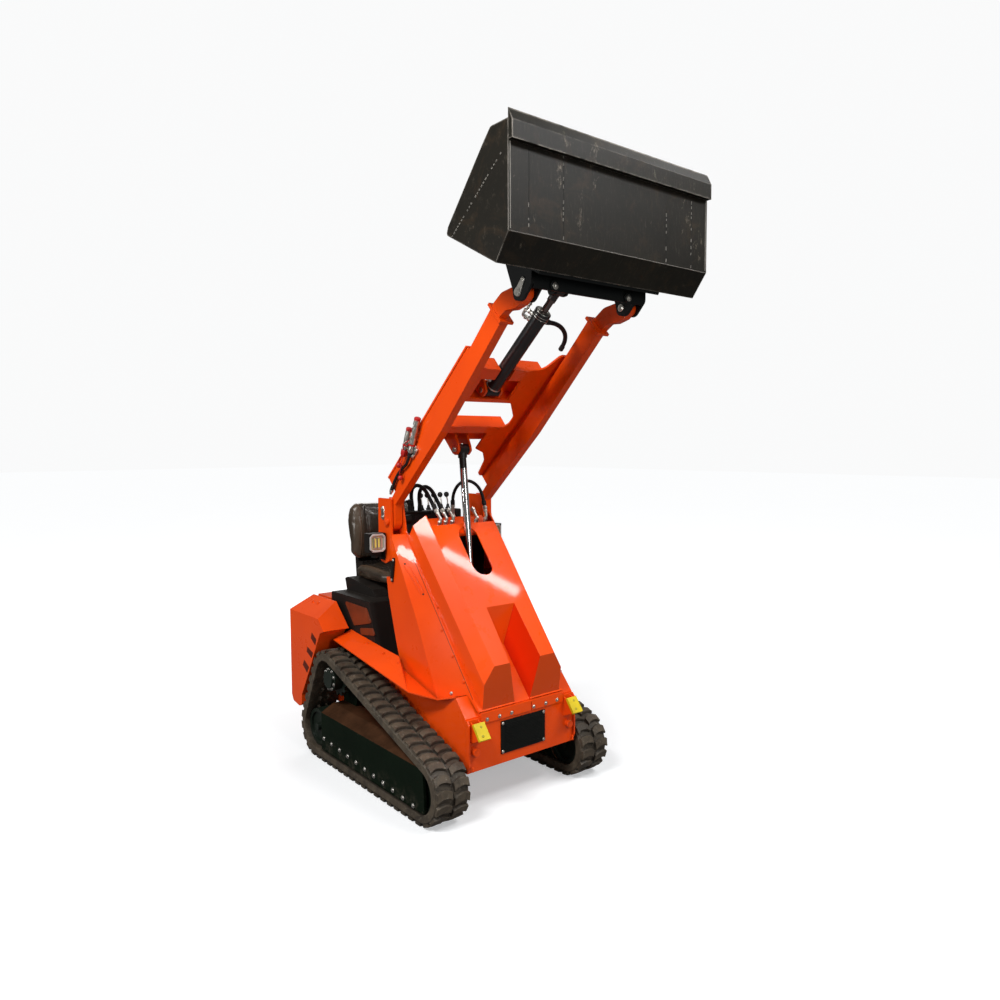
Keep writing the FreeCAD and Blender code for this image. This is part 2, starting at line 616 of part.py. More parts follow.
HOSE_ARCH = [(170, -118, 1366), (167.2, -111.1, 1403.2), (160, -102, 1441), (140, -92, 1474), (106, -82, 1496), (68, -73, 1496), (36, -63, 1474), (20, -53, 1438), (20, -42, 1404), (20, -42, 1372)]
HOSE_LOOP_A = [(-132, -104, 1362), (-145.9, -83.2, 1405.3), (-155.9, -60.7, 1449.4), (-161.9, -18.7, 1476.7), (-162.9, 31.3, 1478.5), (-157, 74.8, 1454.4), (-146, 98, 1412), (-137, 102, 1376), (-137, 102, 1340)]
HOSE_LOOP_B = [(-95, -104, 1362), (-108, -84.4, 1402.7), (-116, -63, 1443.7), (-120, -23.7, 1469.1), (-119, 23.3, 1470.7), (-115, 62, 1448.1), (-107, 82.3, 1409), (-101, 86, 1375), (-101, 86, 1340)]
hose("hose_arch", HOSE_ARCH, 17.0)
hose("hose_loop_outer", HOSE_LOOP_A, 20.0)
hose("hose_loop_inner", HOSE_LOOP_B, 20.0)

# work lights on stems from the towers, latch bars on the side panels
LIGHT = (-372.0, 79.0, 1195.0)


def light():
    x, y, z = LIGHT
    h = box(x - 50, x + 44, y - 26, y + 24, z - 48, z + 48)
    h = h.cut(box(x - 42, x + 36, y - 27, y - 16, z - 40, z + 40))
    lens = box(x - 42, x + 36, y - 20, y - 16, z - 40, z + 40)
    st = fuse(box(x - 30, x + 26, y - 8, y + 16, z - 62, z - 48), box(x - 8, -325, y + 22, y + 32, z - 78, z - 52), box(x - 8, x + 8, y - 6, y + 32, z - 78, z - 60), box(-325, -319, y - 6, y + 44, z - 92, z - 52))
    return fuse(h, st), lens


lh, ll = light()
save("work_light_housings", both(lh))
save("work_light_lenses", both(ll))
lb = cyl((-325, 4, 1020), (-325, -12, 1104), 9)
lb = fuse(lb, box(-326, -310, -2, 12, 1000, 1022), box(-326, -310, -18, -4, 1100, 1122))
save("side_latch_bars", both(lb))

# ---- loader arms (boom body) ------------------------------------------------------------------------------
def arm_beam():
    fl = [(-290, 0), (250, 0), (872, 40)]
    up = [(872, 40 + ARM_DEPTH), (250, ARM_DEPTH), (50, ARM_DEPTH), (-170, 55), (-290, 46)]
    pts = [arm(s, n) for s, n in fl + up]
    b = yz(pts, -ARM_OUT, -ARM_IN)
    # pivot end: plate round the pin, filling the tower's gap but for a little clearance
    heel = yz([arm(-290, 46), arm(-290, 0), arm(-345, -57), arm(-382, -40), arm(-410, -4), arm(-392, 10)], -ARM_OUT, -ARM_IN)
    b = b.fuse([heel, cylx(-ARM_OUT, -ARM_IN, PIVOT[0], PIVOT[1], 44.0)])
    b = b.cut(cylx(-330, -240, PIVOT[0], PIVOT[1], 20.05))
    collar = yz([arm(868, 28), arm(868, 142), arm(882, 142), arm(882, 28)], -320, -248, 2)
    hy, hz = HITCH
    goose = yz([arm(882, 48), arm(882, 122), arm(960, 112), arm(1040, 60), arm(1076, 20), arm(1050, -14), arm(1010, -16), arm(960, 10), arm(930, 40)],
               -317, -279, [0, 0, 60, 40, 30, 24, 24, 20, 20])
    goose = goose.fuse(cylx(-317, -279, hy, hz, 38)).cut(cylx(-330, -240, hy, hz, 16.05))
    return fuse(b, collar, goose)


ab = arm_beam()
save("loader_arms", both(ab))

hp = []
half = [(0, 525), (120, 525), (215, 548), (262, 640), (ARM_OUT, 640), (ARM_OUT, -250), (262, -250), (240, -130), (190, -60), (128, -30), (0, -30)]
full = [(-x, s) for x, s in half[1:]][::-1]
outline = half[:-1] + [(-x, s) for x, s in half[:-1]][::-1][:-1]
outline = half + [(-x, s) for x, s in half[1:-1]][::-1]
plate = armplate(outline, NP, NP + 10, [0, 12, 60, 30, 0, 0, 30, 60, 60, 12, 0, 12, 60, 60, 30, 0, 0, 30, 60, 12])
win = armplate([(-150, 312), (150, 312), (232, 210), (232, 160), (190, 120), (120, 140), (-120, 140), (-190, 120), (-232, 160), (-232, 210)], NP - 5, NP + 15, [20, 20, 40, 30, 30, 10, 10, 30, 30, 40])
plate = plate.cut(win)
lowpocket = armplate([(-125, 92), (125, 92), (125, -40), (-125, -40)], NP - 5, NP + 15, [0, 0, 0, 0])
uppocket = armplate([(-120, 460), (120, 460), (120, 335), (-120, 335)], NP - 5, NP + 15)
plate = plate.cut(lowpocket).cut(uppocket)
NB = NP + 70       # back web of the crossmembers
webs = [
    armplate([(-230, 525), (230, 525), (230, 312), (-230, 312)], NB, NB + 8),
    armplate([(-230, 138), (230, 138), (230, -30), (-230, -30)], NB, NB + 8),
    armplate([(-230, 525), (230, 525), (230, 515), (-230, 515)], NP, NB + 8),
    armplate([(-230, 322), (230, 322), (230, 312), (-230, 312)], NP, NB + 8),
    armplate([(-230, 138), (230, 138), (230, 128), (-230, 128)], NP, NB + 8),
    armplate([(-230, 525), (-220, 525), (-220, 312), (-230, 312)], NP, NB + 8),
    armplate([(220, 525), (230, 525), (230, 312), (220, 312)], NP, NB + 8),
    armplate([(-230, 138), (-220, 138), (-220, -30), (-230, -30)], NP, NB + 8),
    armplate([(220, 138), (230, 138), (230, -30), (220, -30)], NP, NB + 8),
]
# side webs between the beams and the plate
sw = yz([arm(640, 60 + 20), arm(640, NP), arm(-250, NP), arm(-250, 56), arm(-170, 55), arm(50, 60)], -ARM_OUT + 2, -ARM_IN + 20)
sw_up = [arm(-250, NP), arm(640, NP), arm(640, 25 + ARM_DEPTH), arm(250, ARM_DEPTH), arm(50, ARM_DEPTH), arm(-170, 55), arm(-250, 50)]
sw = yz(sw_up, -300, -290)


def ear(cx, cn, r, x0, x1, s0, s1, ntop):
    return yz([arm(s0, ntop), arm(s1, ntop), arm(cx + r, cn), arm(cx + r * 0.6, cn - r * 0.8), arm(cx - r * 0.6, cn - r * 0.8), arm(cx - r, cn)], x0, x1, [0, 0, 10, 14, 14, 10])


def to_arm(p):
    dy, dz = p[0] - A0[0], p[1] - A0[1]
    return (dy * AD[0] + dz * AD[1], dy * AN[0] + dz * AN[1])


ts, tn = to_arm(LIFT_TOP)
us, un = to_arm(TILT_BASE)
print("lift top in arm frame", ts, tn, "tilt base", us, un, "pivot", to_arm(PIVOT), "hitch", to_arm(HITCH))
ears = []
for x0, x1, w0, w1 in ((-42, -30, -53, -41), (30, 42, 41, 53)):
    e = ear(ts, tn, 30, x0, x1, ts - 34, ts + 60, NB)
    e = e.cut(cylx(-60, 60, LIFT_TOP[0], LIFT_TOP[1], 14.0))
    ears.append(e)
    e2 = yz([arm(us - 34, NB), arm(us + 50, NB), arm(us + 30, un), arm(us + 18, un - 26), arm(us - 18, un - 26), arm(us - 30, un)], w0, w1, [0, 0, 8, 12, 12, 8])
    e2 = e2.cut(cylx(-60, 60, TILT_BASE[0], TILT_BASE[1], 14.05))
    ears.append(e2)
cm = plate.fuse(webs).cut(armplate([(-41, us + 18), (41, us + 18), (41, 600), (-41, 600)], 100, 300))
cm = cm.fuse(ears + [sw, mirror(sw)]).cut(ab).removeSplitter()
print("crossmembers solids", len(cm.Solids))
save("arm_crossmembers", cm)
pins = [cylx(-330, -240, PIVOT[0], PIVOT[1], 20.0), mirror(cylx(-330, -240, PIVOT[0], PIVOT[1], 20.0))]
save("arm_pins", comp(*(pins + [cylx(-60, 60, TILT_BASE[0], TILT_BASE[1], 14.0)])))


# quick couplers on a bracket at the right beam, and the hose that runs down from one of them
CPL_X = -322.0
C0, C1 = (-175.0, 1648.0), (-240.0, 1798.0)


def arm3(x, sv, n):
    y, z = arm(sv, n)
    return (x, y, z)


def coupler(x, a, b, r):
    d = (b[0] - a[0], b[1] - a[1])
    l = math.hypot(*d)
    u = (d[0] / l, d[1] / l)
    def q(t):
        return (x, a[0] + u[0] * t, a[1] + u[1] * t)
    c = cyl(q(0), q(l), r - 3)
    return c.fuse([cyl(q(6), q(30), r), cyl(q(46), q(76), r + 1.5), cyl(q(l - 62), q(l - 34), r), cyl(q(l - 22), q(l), r + 1)])


q0, q1, q2, q3 = arm(-4, 56), arm(58, 56), arm(58, 112), arm(-4, 112)
brk = yz([q0, q1, q2, q3], CPL_X + 8, -ARM_OUT, 5)
cpl = fuse(coupler(CPL_X, C0, C1, 14.5), brk)
c2a, c2b = (-128.0, 1663.0), (-166.0, 1752.0)
cpl2 = fuse(coupler(CPL_X, c2a, c2b, 13.0), yz([arm(-4, 112), arm(58, 112), arm(50, 140), arm(6, 140)], CPL_X + 8, -ARM_OUT - 1, 5))
save("coupler_block", comp(cpl.fuse(cpl2).removeSplitter()))
HOSE_ARM = [(-322, -175, 1648), (-322, -155, 1601.85), (-317, -108, 1576), (-313, -57, 1549), (-313, -16, 1508), (-314, 10, 1462)]
hose("hose_arm", HOSE_ARM, 15.0)

# ---- cylinders --------------------------------------------------------------------------------------------
def unit(a, b):
    l = math.hypot(b[0] - a[0], b[1] - a[1])
    return ((b[0] - a[0]) / l, (b[1] - a[1]) / l, l)


def pt(a, u, t):
    return (0, a[0] + u[0] * t, a[1] + u[1] * t)


ul = unit(LIFT_BASE, LIFT_TOP)
bar = cyl(pt(LIFT_BASE, ul, 46), pt(LIFT_BASE, ul, 705), 38)
bar = bar.fuse([cyl(pt(LIFT_BASE, ul, 10), pt(LIFT_BASE, ul, 50), 24), cylx(-27, 27, LIFT_BASE[0], LIFT_BASE[1], 30), cyl(pt(LIFT_BASE, ul, 690), pt(LIFT_BASE, ul, 722), 43)])
bar = bar.cut(cyl(pt(LIFT_BASE, ul, 60), pt(LIFT_BASE, ul, 730), 18.05)).cut(cylx(-60, 60, LIFT_BASE[0], LIFT_BASE[1], 15.05)).removeSplitter()
save("lift_cylinder_barrel", bar)
rod = cyl(pt(LIFT_BASE, ul, 655), pt(LIFT_BASE, ul, ul[2] - 20), 18)
eye = cylx(-27, 27, LIFT_TOP[0], LIFT_TOP[1], 28).fuse(cyl(pt(LIFT_BASE, ul, ul[2] - 42), pt(LIFT_BASE, ul, ul[2] - 15), 23))
rod = rod.fuse(eye).cut(cylx(-60, 60, LIFT_TOP[0], LIFT_TOP[1], 14.5)).removeSplitter()
save("lift_cylinder_rod", rod)

ut = unit(TILT_BASE, TILT_TOP)
print("lift length", ul[2], "tilt length", ut[2])
bar = cyl(pt(TILT_BASE, ut, 22), pt(TILT_BASE, ut, 478), 35)
bar = bar.fuse([cylx(-37, 37, TILT_BASE[0], TILT_BASE[1], 27), cyl(pt(TILT_BASE, ut, 470), pt(TILT_BASE, ut, 496), 39)])
bar = bar.cut(cyl(pt(TILT_BASE, ut, 50), pt(TILT_BASE, ut, 500), 16.05)).cut(cylx(-60, 60, TILT_BASE[0], TILT_BASE[1], 14.05)).removeSplitter()
tp = pt(TILT_BASE, ut, 444)
bar = bar.fuse(cylx(30, 50, tp[1], tp[2], 11)).cut(cyl(pt(TILT_BASE, ut, 50), pt(TILT_BASE, ut, 500), 16.05)).removeSplitter()
save("tilt_cylinder_barrel", bar)
HOSE_TILT_SN = [(50, 0, 0), (92, 0, 0), (133, -8, 0), (171, -25, 0), (204, -49, -1), (228, -80, -2), (240, -115, -3), (243, -148, -3)]
HOSE_TILT = [(x, tp[1] + AD[0] * a + AN[0] * b, tp[2] + AD[1] * a + AN[1] * b) for x, a, b in HOSE_TILT_SN]
print("HOSE_TILT", [tuple(round(c, 1) for c in q) for q in HOSE_TILT])
hose("hose_tilt", HOSE_TILT, 21.0)
rod = cyl(pt(TILT_BASE, ut, 430), pt(TILT_BASE, ut, ut[2] - 20), 16)
eye = cylx(-22, 22, TILT_TOP[0], TILT_TOP[1], 26).fuse(cyl(pt(TILT_BASE, ut, ut[2] - 60), pt(TILT_BASE, ut, ut[2] - 15), 20))
rod = rod.fuse(eye).cut(cylx(-60, 60, TILT_TOP[0], TILT_TOP[1], 13.5)).removeSplitter()
save("tilt_cylinder_rod", rod)

# ---- bucket body -------------------------------------------------------------------------------------------
BA = (-1209.0, 2431.0)
BB = (-1138.0, 2332.0)
BC = (-833.0, 2491.0)
BL = (-1209.0, 2815.0)
T = 9.0


def offset_poly(pts, t):
    """Strip of thickness t to the left of an open polyline."""
    out = []
    n = len(pts)
    for i in range(n):
        if i == 0:
            d = (pts[1][0] - pts[0][0], pts[1][1] - pts[0][1])
            l = math.hypot(*d)
            nn = (-d[1] / l, d[0] / l)
            out.append((pts[0][0] + nn[0] * t, pts[0][1] + nn[1] * t))
        elif i == n - 1:
            d = (pts[-1][0] - pts[-2][0], pts[-1][1] - pts[-2][1])
            l = math.hypot(*d)
            nn = (-d[1] / l, d[0] / l)
            out.append((pts[-1][0] + nn[0] * t, pts[-1][1] + nn[1] * t))
        else:
            d0 = (pts[i][0] - pts[i - 1][0], pts[i][1] - pts[i - 1][1])
            d1 = (pts[i + 1][0] - pts[i][0], pts[i + 1][1] - pts[i][1])
            l0, l1 = math.hypot(*d0), math.hypot(*d1)
            n0 = (-d0[1] / l0, d0[0] / l0)
            n1 = (-d1[1] / l1, d1[0] / l1)
            b = (n0[0] + n1[0], n0[1] + n1[1])
            k = t / (1 + n0[0] * n1[0] + n0[1] * n1[1])
            out.append((pts[i][0] + b[0] * k, pts[i][1] + b[1] * k))
    return pts + out[::-1]


lip_top = (BC[0] - 0.60 * 30, BC[1] + 0.80 * 30)
shell = yz(offset_poly([BL, BA, BB, BC, lip_top], T), -BUCKET_X + 10, BUCKET_X - 10)
side = [BA, BB, BC, (-845, 2520), (-1061, 2764), (-1110, 2815), BL]
sr = yz(side, -BUCKET_X, -BUCKET_X + 10, [0, 0, 14, 14, 40, 20, 0])
bk_shell = shell.fuse([sr, mirror(sr)]).removeSplitter()
save("bucket_shell", bk_shell)
ce = box(-BUCKET_X, BUCKET_X, -1232, -1209, 2742, 2850)
ce = ce.cut(yz([(-1240, 2790), (-1240, 2860), (-1205, 2860), (-1209, 2850)], -600, 600))
save("cutting_edge", ce)

bdir = (0.8867, 0.4623)     # along the bucket's back plate, heel to top
bnor = (0.4623, -0.8867)    # out of the back plate, towards the machine


def bk(a, b):
    return (BB[0] + bdir[0] * a + bnor[0] * b, BB[1] + bdir[1] * a + bnor[1] * b)


FRONT_Y = -1066.0          # front of the cross plate and of the ears
hit = yz([bk(8, 0.0), bk(300, 0.0), bk(300, 14), bk(8, 14)], -345, 345)
cross = yz([(FRONT_Y, 2285), (FRONT_Y + 12, 2285), (FRONT_Y + 12, 2374), (FRONT_Y, 2368)], -319, 319)
ears = [cross]
for x0, x1 in ((-331, -319), (-277, -265), (265, 277), (319, 331)):
    hy, hz = HITCH
    e = yz([(FRONT_Y, 2369), bk(286, 1), (-951, 2296), (-960, 2250), (-1012, 2240), (FRONT_Y, 2300)], x0, x1, [0, 0, 30, 26, 34, 30])
    e = e.cut(cylx(-400, 400, hy, hz, 16.05))
    ears.append(e)
for x0, x1 in ((-40, -26), (26, 40)):
    ty, tz = TILT_TOP
    e = yz([bk(120, 2), bk(300, 2), (ty + 30, tz + 10), (ty + 16, tz - 26), (ty - 18, tz - 24), (ty - 34, tz + 4)], x0, x1, [0, 0, 12, 14, 14, 12])
    e = e.cut(cylx(-60, 60, ty, tz, 13.0))
    ears.append(e)
hit = hit.fuse(ears).removeSplitter()
print("hitch solids", len(hit.Solids))
save("hitch_plate", hit)
hpn = [cylx(-338, -260, HITCH[0], HITCH[1], 16.0), cylx(260, 338, HITCH[0], HITCH[1], 16.0)]
save("hitch_pins", comp(*hpn))

export_all()
bb = None
for k, s in NODES.items():
    if bb is None:
        bb = FreeCAD.BoundBox(s.BoundBox)
    else:
        bb.add(s.BoundBox)
print("bbox", bb, "nodes", len(NODES))
for k, s in sorted(NODES.items()):
    print("%-24s solids %2d valid %s vol %.1f" % (k, len(s.Solids), s.isValid(), s.Volume / 1e3))
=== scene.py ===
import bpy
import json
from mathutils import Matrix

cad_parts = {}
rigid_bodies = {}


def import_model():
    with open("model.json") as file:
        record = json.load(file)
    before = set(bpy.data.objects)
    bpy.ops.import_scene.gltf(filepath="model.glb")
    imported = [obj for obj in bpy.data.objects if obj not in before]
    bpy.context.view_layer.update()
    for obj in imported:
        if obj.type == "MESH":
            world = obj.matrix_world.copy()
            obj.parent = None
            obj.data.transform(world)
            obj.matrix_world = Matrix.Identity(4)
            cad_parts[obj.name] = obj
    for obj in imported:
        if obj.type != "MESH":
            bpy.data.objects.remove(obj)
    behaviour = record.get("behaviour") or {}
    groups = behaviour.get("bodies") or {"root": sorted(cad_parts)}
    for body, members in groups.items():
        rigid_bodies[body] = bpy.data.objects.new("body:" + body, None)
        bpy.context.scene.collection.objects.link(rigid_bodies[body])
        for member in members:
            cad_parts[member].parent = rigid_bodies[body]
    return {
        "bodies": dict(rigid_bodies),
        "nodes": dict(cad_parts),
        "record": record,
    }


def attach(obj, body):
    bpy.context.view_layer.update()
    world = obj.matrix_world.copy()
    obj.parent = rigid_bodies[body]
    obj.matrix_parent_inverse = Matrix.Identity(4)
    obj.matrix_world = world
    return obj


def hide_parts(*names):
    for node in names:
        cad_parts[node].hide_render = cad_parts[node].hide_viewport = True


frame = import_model()

import bpy, bmesh, math, random, json
from mathutils import Vector, Matrix

random.seed(7)
nodes = frame["nodes"]
bodies = frame["bodies"]
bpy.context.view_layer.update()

# design frame of the part, in millimetres, to the row frame in metres
YS = 216.0


def D(x, y, z):
    return Vector((x / 1000.0, (y + YS) / 1000.0, z / 1000.0))


A0, AD, AN = (-220.0, 1578.0), (-0.7493, 0.6622), (0.6622, 0.7493)
HP, HD, HN = (-458.0, 912.0), (-0.6247, -0.7809), (-0.7809, 0.6247)


def arm(x, s, n):
    return D(x, A0[0] + AD[0] * s + AN[0] * n, A0[1] + AD[1] * s + AN[1] * n)


def hood(x, s, n):
    return D(x, HP[0] + HD[0] * s + HN[0] * n, HP[1] + HD[1] * s + HN[1] * n)


VAN = Vector((0, AN[0], AN[1]))
VAD = Vector((0, AD[0], AD[1]))
VHN = Vector((0, HN[0], HN[1]))
VHD = Vector((0, HD[0], HD[1]))
X, Y, Z = Vector((1, 0, 0)), Vector((0, 1, 0)), Vector((0, 0, 1))

# ------------------------------------------------------------------------------------------- camera, light
yaw, pitch, roll = math.radians(38.956), math.radians(3.936), math.radians(-0.2575)
fw = Vector((math.sin(yaw) * math.cos(pitch), math.cos(yaw) * math.cos(pitch), -math.sin(pitch)))
rt = Vector((math.cos(yaw), -math.sin(yaw), 0))
up = rt.cross(fw)
right = math.cos(roll) * rt + math.sin(roll) * up
upv = -math.sin(roll) * rt + math.cos(roll) * up
cam_data = bpy.data.cameras.new("camera")
cam_data.lens = 28.39
cam_data.sensor_width = 36.0
cam_data.clip_end = 200.0
cam = bpy.data.objects.new("camera", cam_data)
bpy.context.scene.collection.objects.link(cam)
m = Matrix.Identity(4)
for i in range(3):
    m[i][0], m[i][1], m[i][2] = right[i], upv[i], -fw[i]
m[0][3], m[1][3], m[2][3] = -2.363, -3.381 + YS / 1000.0, 1.678
cam.matrix_world = m
bpy.context.scene.camera = cam


def area(name, loc, target, sx, sy, power, color=(1, 1, 1)):
    d = bpy.data.lights.new(name, "AREA")
    d.shape = "RECTANGLE"
    d.size, d.size_y = sx, sy
    d.energy = power
    d.color = color
    o = bpy.data.objects.new(name, d)
    bpy.context.scene.collection.objects.link(o)
    o.location = loc
    o.rotation_euler = (Vector(target) - Vector(loc)).to_track_quat("-Z", "Y").to_euler()
    return o


area("key", (-3.9, -1.6, 5.2), (0, -0.1, 1.1), 2.4, 0.9, 265)
area("tube_1", (1.7, -3.4, 4.7), (0, -0.3, 1.0), 2.6, 0.35, 125)
area("tube_2", (2.6, -1.56, 4.8), (0, -0.2, 1.0), 0.10, 1.7, 19)
area("front", (-0.6, -5.6, 2.4), (0, 0, 1.1), 0.5, 2.4, 58)
area("side", (-4.9, 1.5, 2.3), (0, 0.2, 0.9), 0.22, 2.0, 52)
area("back", (2.4, 4.6, 3.8), (0, 0, 1.2), 3.0, 1.6, 60)

world = bpy.data.worlds.new("world")
bpy.context.scene.world = world
world.use_nodes = True
wt = world.node_tree
bg = wt.nodes["Background"]
bg.inputs["Color"].default_value = (1.0, 0.97, 0.93, 1)
bg.inputs["Strength"].default_value = 0.15
bg2 = wt.nodes.new("ShaderNodeBackground")
bg2.inputs["Color"].default_value = (0.985, 0.988, 0.99, 1)
bg2.inputs["Strength"].default_value = 0.97
lp = wt.nodes.new("ShaderNodeLightPath")
wm = wt.nodes.new("ShaderNodeMixShader")
wt.links.new(lp.outputs["Is Camera Ray"], wm.inputs[0])
wt.links.new(bg.outputs[0], wm.inputs[1])
wt.links.new(bg2.outputs[0], wm.inputs[2])
wt.links.new(wm.outputs[0], wt.nodes["World Output"].inputs["Surface"])
bpy.context.scene.view_settings.view_transform = "Standard"
bpy.context.scene.view_settings.look = "None"
bpy.context.scene.view_settings.exposure = 0.0


# ------------------------------------------------------------------------------------------- materials
class Mat:
    """Small helper for node materials."""

    def __init__(self, name):
        self.m = bpy.data.materials.new(name)
        self.m.use_nodes = True
        self.t = self.m.node_tree
        self.n = self.t.nodes
        self.b = self.n["Principled BSDF"]
        self.tc = self.n.new("ShaderNodeTexCoord")
        self.geo = self.n.new("ShaderNodeNewGeometry")

    def link(self, a, b):
        self.t.links.new(a, b)

    def noise(self, scale, detail=4.0, rough=0.55, vec=None, dist=0.0):
        n = self.n.new("ShaderNodeTexNoise")
        n.inputs["Scale"].default_value = scale
        n.inputs["Detail"].default_value = detail
        n.inputs["Roughness"].default_value = rough
        n.inputs["Distortion"].default_value = dist
        self.link(vec if vec is not None else self.tc.outputs["Object"], n.inputs["Vector"])
        return n.outputs["Fac"]

    def mapping(self, sx, sy, sz, rot=(0, 0, 0)):
        n = self.n.new("ShaderNodeMapping")
        n.inputs["Scale"].default_value = (sx, sy, sz)
        n.inputs["Rotation"].default_value = rot
        self.link(self.tc.outputs["Object"], n.inputs["Vector"])
        return n.outputs["Vector"]

    def ramp(self, fac, p0, p1, c0=(0, 0, 0, 1), c1=(1, 1, 1, 1)):
        n = self.n.new("ShaderNodeValToRGB")
        n.color_ramp.elements[0].position = p0
        n.color_ramp.elements[1].position = p1
        n.color_ramp.elements[0].color = c0
        n.color_ramp.elements[1].color = c1
        self.link(fac, n.inputs["Fac"])
        return n.outputs["Color"]

    def mix(self, fac, a, b, mode="MIX"):
        n = self.n.new("ShaderNodeMix")
        n.data_type = "RGBA"
        n.blend_type = mode
        for sock, v in ((n.inputs[0], fac), (n.inputs[6], a), (n.inputs[7], b)):
            if hasattr(v, "links"):
                self.link(v, sock)
            elif sock == n.inputs[0]:
                sock.default_value = v
            else:
                sock.default_value = tuple(v) + ((1.0,) if len(v) == 3 else ())
        return n.outputs[2]

    def math(self, op, a, b=None, c=None, clamp=False):
        n = self.n.new("ShaderNodeMath")
        n.operation = op
        n.use_clamp = clamp
        for sock, v in zip(n.inputs, (a, b, c)):
            if v is None:
                continue
            if hasattr(v, "links"):
                self.link(v, sock)
            else:
                sock.default_value = v
        return n.outputs[0]

    def sep(self, vec):
        n = self.n.new("ShaderNodeSeparateXYZ")
        self.link(vec, n.inputs[0])
        return n.outputs

    def normal_z(self):
        return self.sep(self.geo.outputs["Normal"])[2]

    def bevel(self, r=0.003, samples=4):
        n = self.n.new("ShaderNodeBevel")
        n.samples = samples
        n.inputs["Radius"].default_value = r
        return n.outputs["Normal"]

    def bump(self, height, strength=0.2, dist=0.001, normal=None):
        n = self.n.new("ShaderNodeBump")
        n.inputs["Strength"].default_value = strength
        n.inputs["Distance"].default_value = dist
        self.link(height, n.inputs["Height"])
        if normal is not None:
            self.link(normal, n.inputs["Normal"])
        return n.outputs["Normal"]

    def edge(self, r=0.004, gain=6.0):
        """1 on worn edges: where the bevelled normal leaves the true one."""
        bv = self.n.new("ShaderNodeBevel")
        bv.samples = 3
        bv.inputs["Radius"].default_value = r
        d = self.n.new("ShaderNodeVectorMath")
        d.operation = "DOT_PRODUCT"
        self.link(bv.outputs["Normal"], d.inputs[0])
        self.link(self.geo.outputs["True Normal"], d.inputs[1])
        inv = self.math("SUBTRACT", 1.0, d.outputs["Value"])
        return self.math("MULTIPLY", inv, gain, clamp=True)

    def set(self, name, v):
        s = self.b.inputs[name]
        if hasattr(v, "links"):
            self.link(v, s)
        else:
            s.default_value = v

    def ao(self, dist=0.06):
        n = self.n.new("ShaderNodeAmbientOcclusion")
        n.samples = 4
        n.inputs["Distance"].default_value = dist
        return n.outputs["AO"]


def paint(name, base, dark, rough=0.26, coat=0.40, dust=(0.42, 0.33, 0.24), dust_amt=0.08, low_z=0.9, bevel=0.0025, hood_masks=False):
    a = Mat(name)
    big = a.noise(2.2, 3.0)
    col = a.mix(a.ramp(big, 0.3, 0.75), base, dark)
    if hood_masks:
        # painted shade on the hood: the front faces low down, on the bumps, get a darker orange, and the inward-facing
        # slot walls a deeper red-orange
        P = a.sep(a.tc.outputs["Object"])
        N = a.sep(a.geo.outputs["Normal"])
        ax = a.math("ABSOLUTE", P[0])
        inward = a.math("MULTIPLY", P[0], N[0])
        dn = a.n.new("ShaderNodeVectorMath")
        dn.operation = "DOT_PRODUCT"
        a.link(a.geo.outputs["Normal"], dn.inputs[0])
        dn.inputs[1].default_value = (0.0, -0.9889, -0.1486)
        front_face_shade = a.math("MULTIPLY", a.math("GREATER_THAN", dn.outputs["Value"], 0.975), a.math("GREATER_THAN", P[2], 0.478))
        front_face_shade = a.math("MULTIPLY", front_face_shade, a.math("LESS_THAN", P[2], 0.692))
        col = a.mix(front_face_shade, col, (0.64, 0.060, 0.002))
        slot_wall_shade = a.math("MULTIPLY", a.math("LESS_THAN", inward, -0.015), a.math("LESS_THAN", ax, 0.16))
        slot_wall_shade = a.math("MULTIPLY", slot_wall_shade, a.math("LESS_THAN", P[1], -0.05))
        col = a.mix(slot_wall_shade, col, (0.72, 0.024, 0.001))
    # dust lies thicker low down
    z = a.sep(a.tc.outputs["Object"])[2]
    low = a.math("MULTIPLY", a.math("SUBTRACT", low_z, z), 1.2, clamp=True)
    speck = a.ramp(a.noise(38.0, 8.0, 0.7), 0.52, 0.75)
    patch = a.ramp(a.noise(5.0, 6.0, 0.65, dist=0.6), 0.48, 0.8)
    d = a.math("MULTIPLY", a.math("MULTIPLY", low, a.mix(0.5, speck, patch)), dust_amt, clamp=True)
    # painted shade in the recesses: ambient occlusion, broken into patches by noise, darkens the paint towards a dark
    # brown
    ao = a.ramp(a.ao(0.05), 0.25, 0.85, (1, 1, 1, 1), (0, 0, 0, 1))
    grime_and_shade = a.math("MULTIPLY", a.math("MULTIPLY", ao, a.ramp(a.noise(9.0, 5.0), 0.35, 0.7)), 0.35, clamp=True)
    col = a.mix(d, col, dust)
    col = a.mix(grime_and_shade, col, (0.10, 0.035, 0.012))
    chips = a.math("MULTIPLY", a.edge(0.003, 5.0), a.ramp(a.noise(60.0, 4.0, 0.7), 0.60, 0.70), clamp=True)
    col = a.mix(a.math("MULTIPLY", chips, 0.8), col, (0.30, 0.22, 0.17))
    a.set("Base Color", col)
    r = a.math("ADD", rough, a.math("MULTIPLY", a.ramp(a.noise(14.0, 5.0), 0.3, 0.8), 0.10))
    r = a.math("ADD", r, a.math("MULTIPLY", d, 0.5), clamp=True)
    a.set("Roughness", r)
    a.set("Coat Weight", coat)
    a.set("Coat Roughness", 0.05)
    a.set("Specular IOR Level", 0.12)
    a.set("Normal", a.bump(a.noise(90.0, 2.0), 0.05, 0.0006, a.bevel(bevel)))
    return a.m


ORANGE = (0.93, 0.083, 0.002)
ORANGE_D = (0.80, 0.062, 0.003)
MAT = {}
MAT["orange_paint"] = paint("orange_paint", ORANGE, ORANGE_D)
MAT["hood_paint"] = paint("hood_paint", ORANGE, ORANGE_D, hood_masks=True)
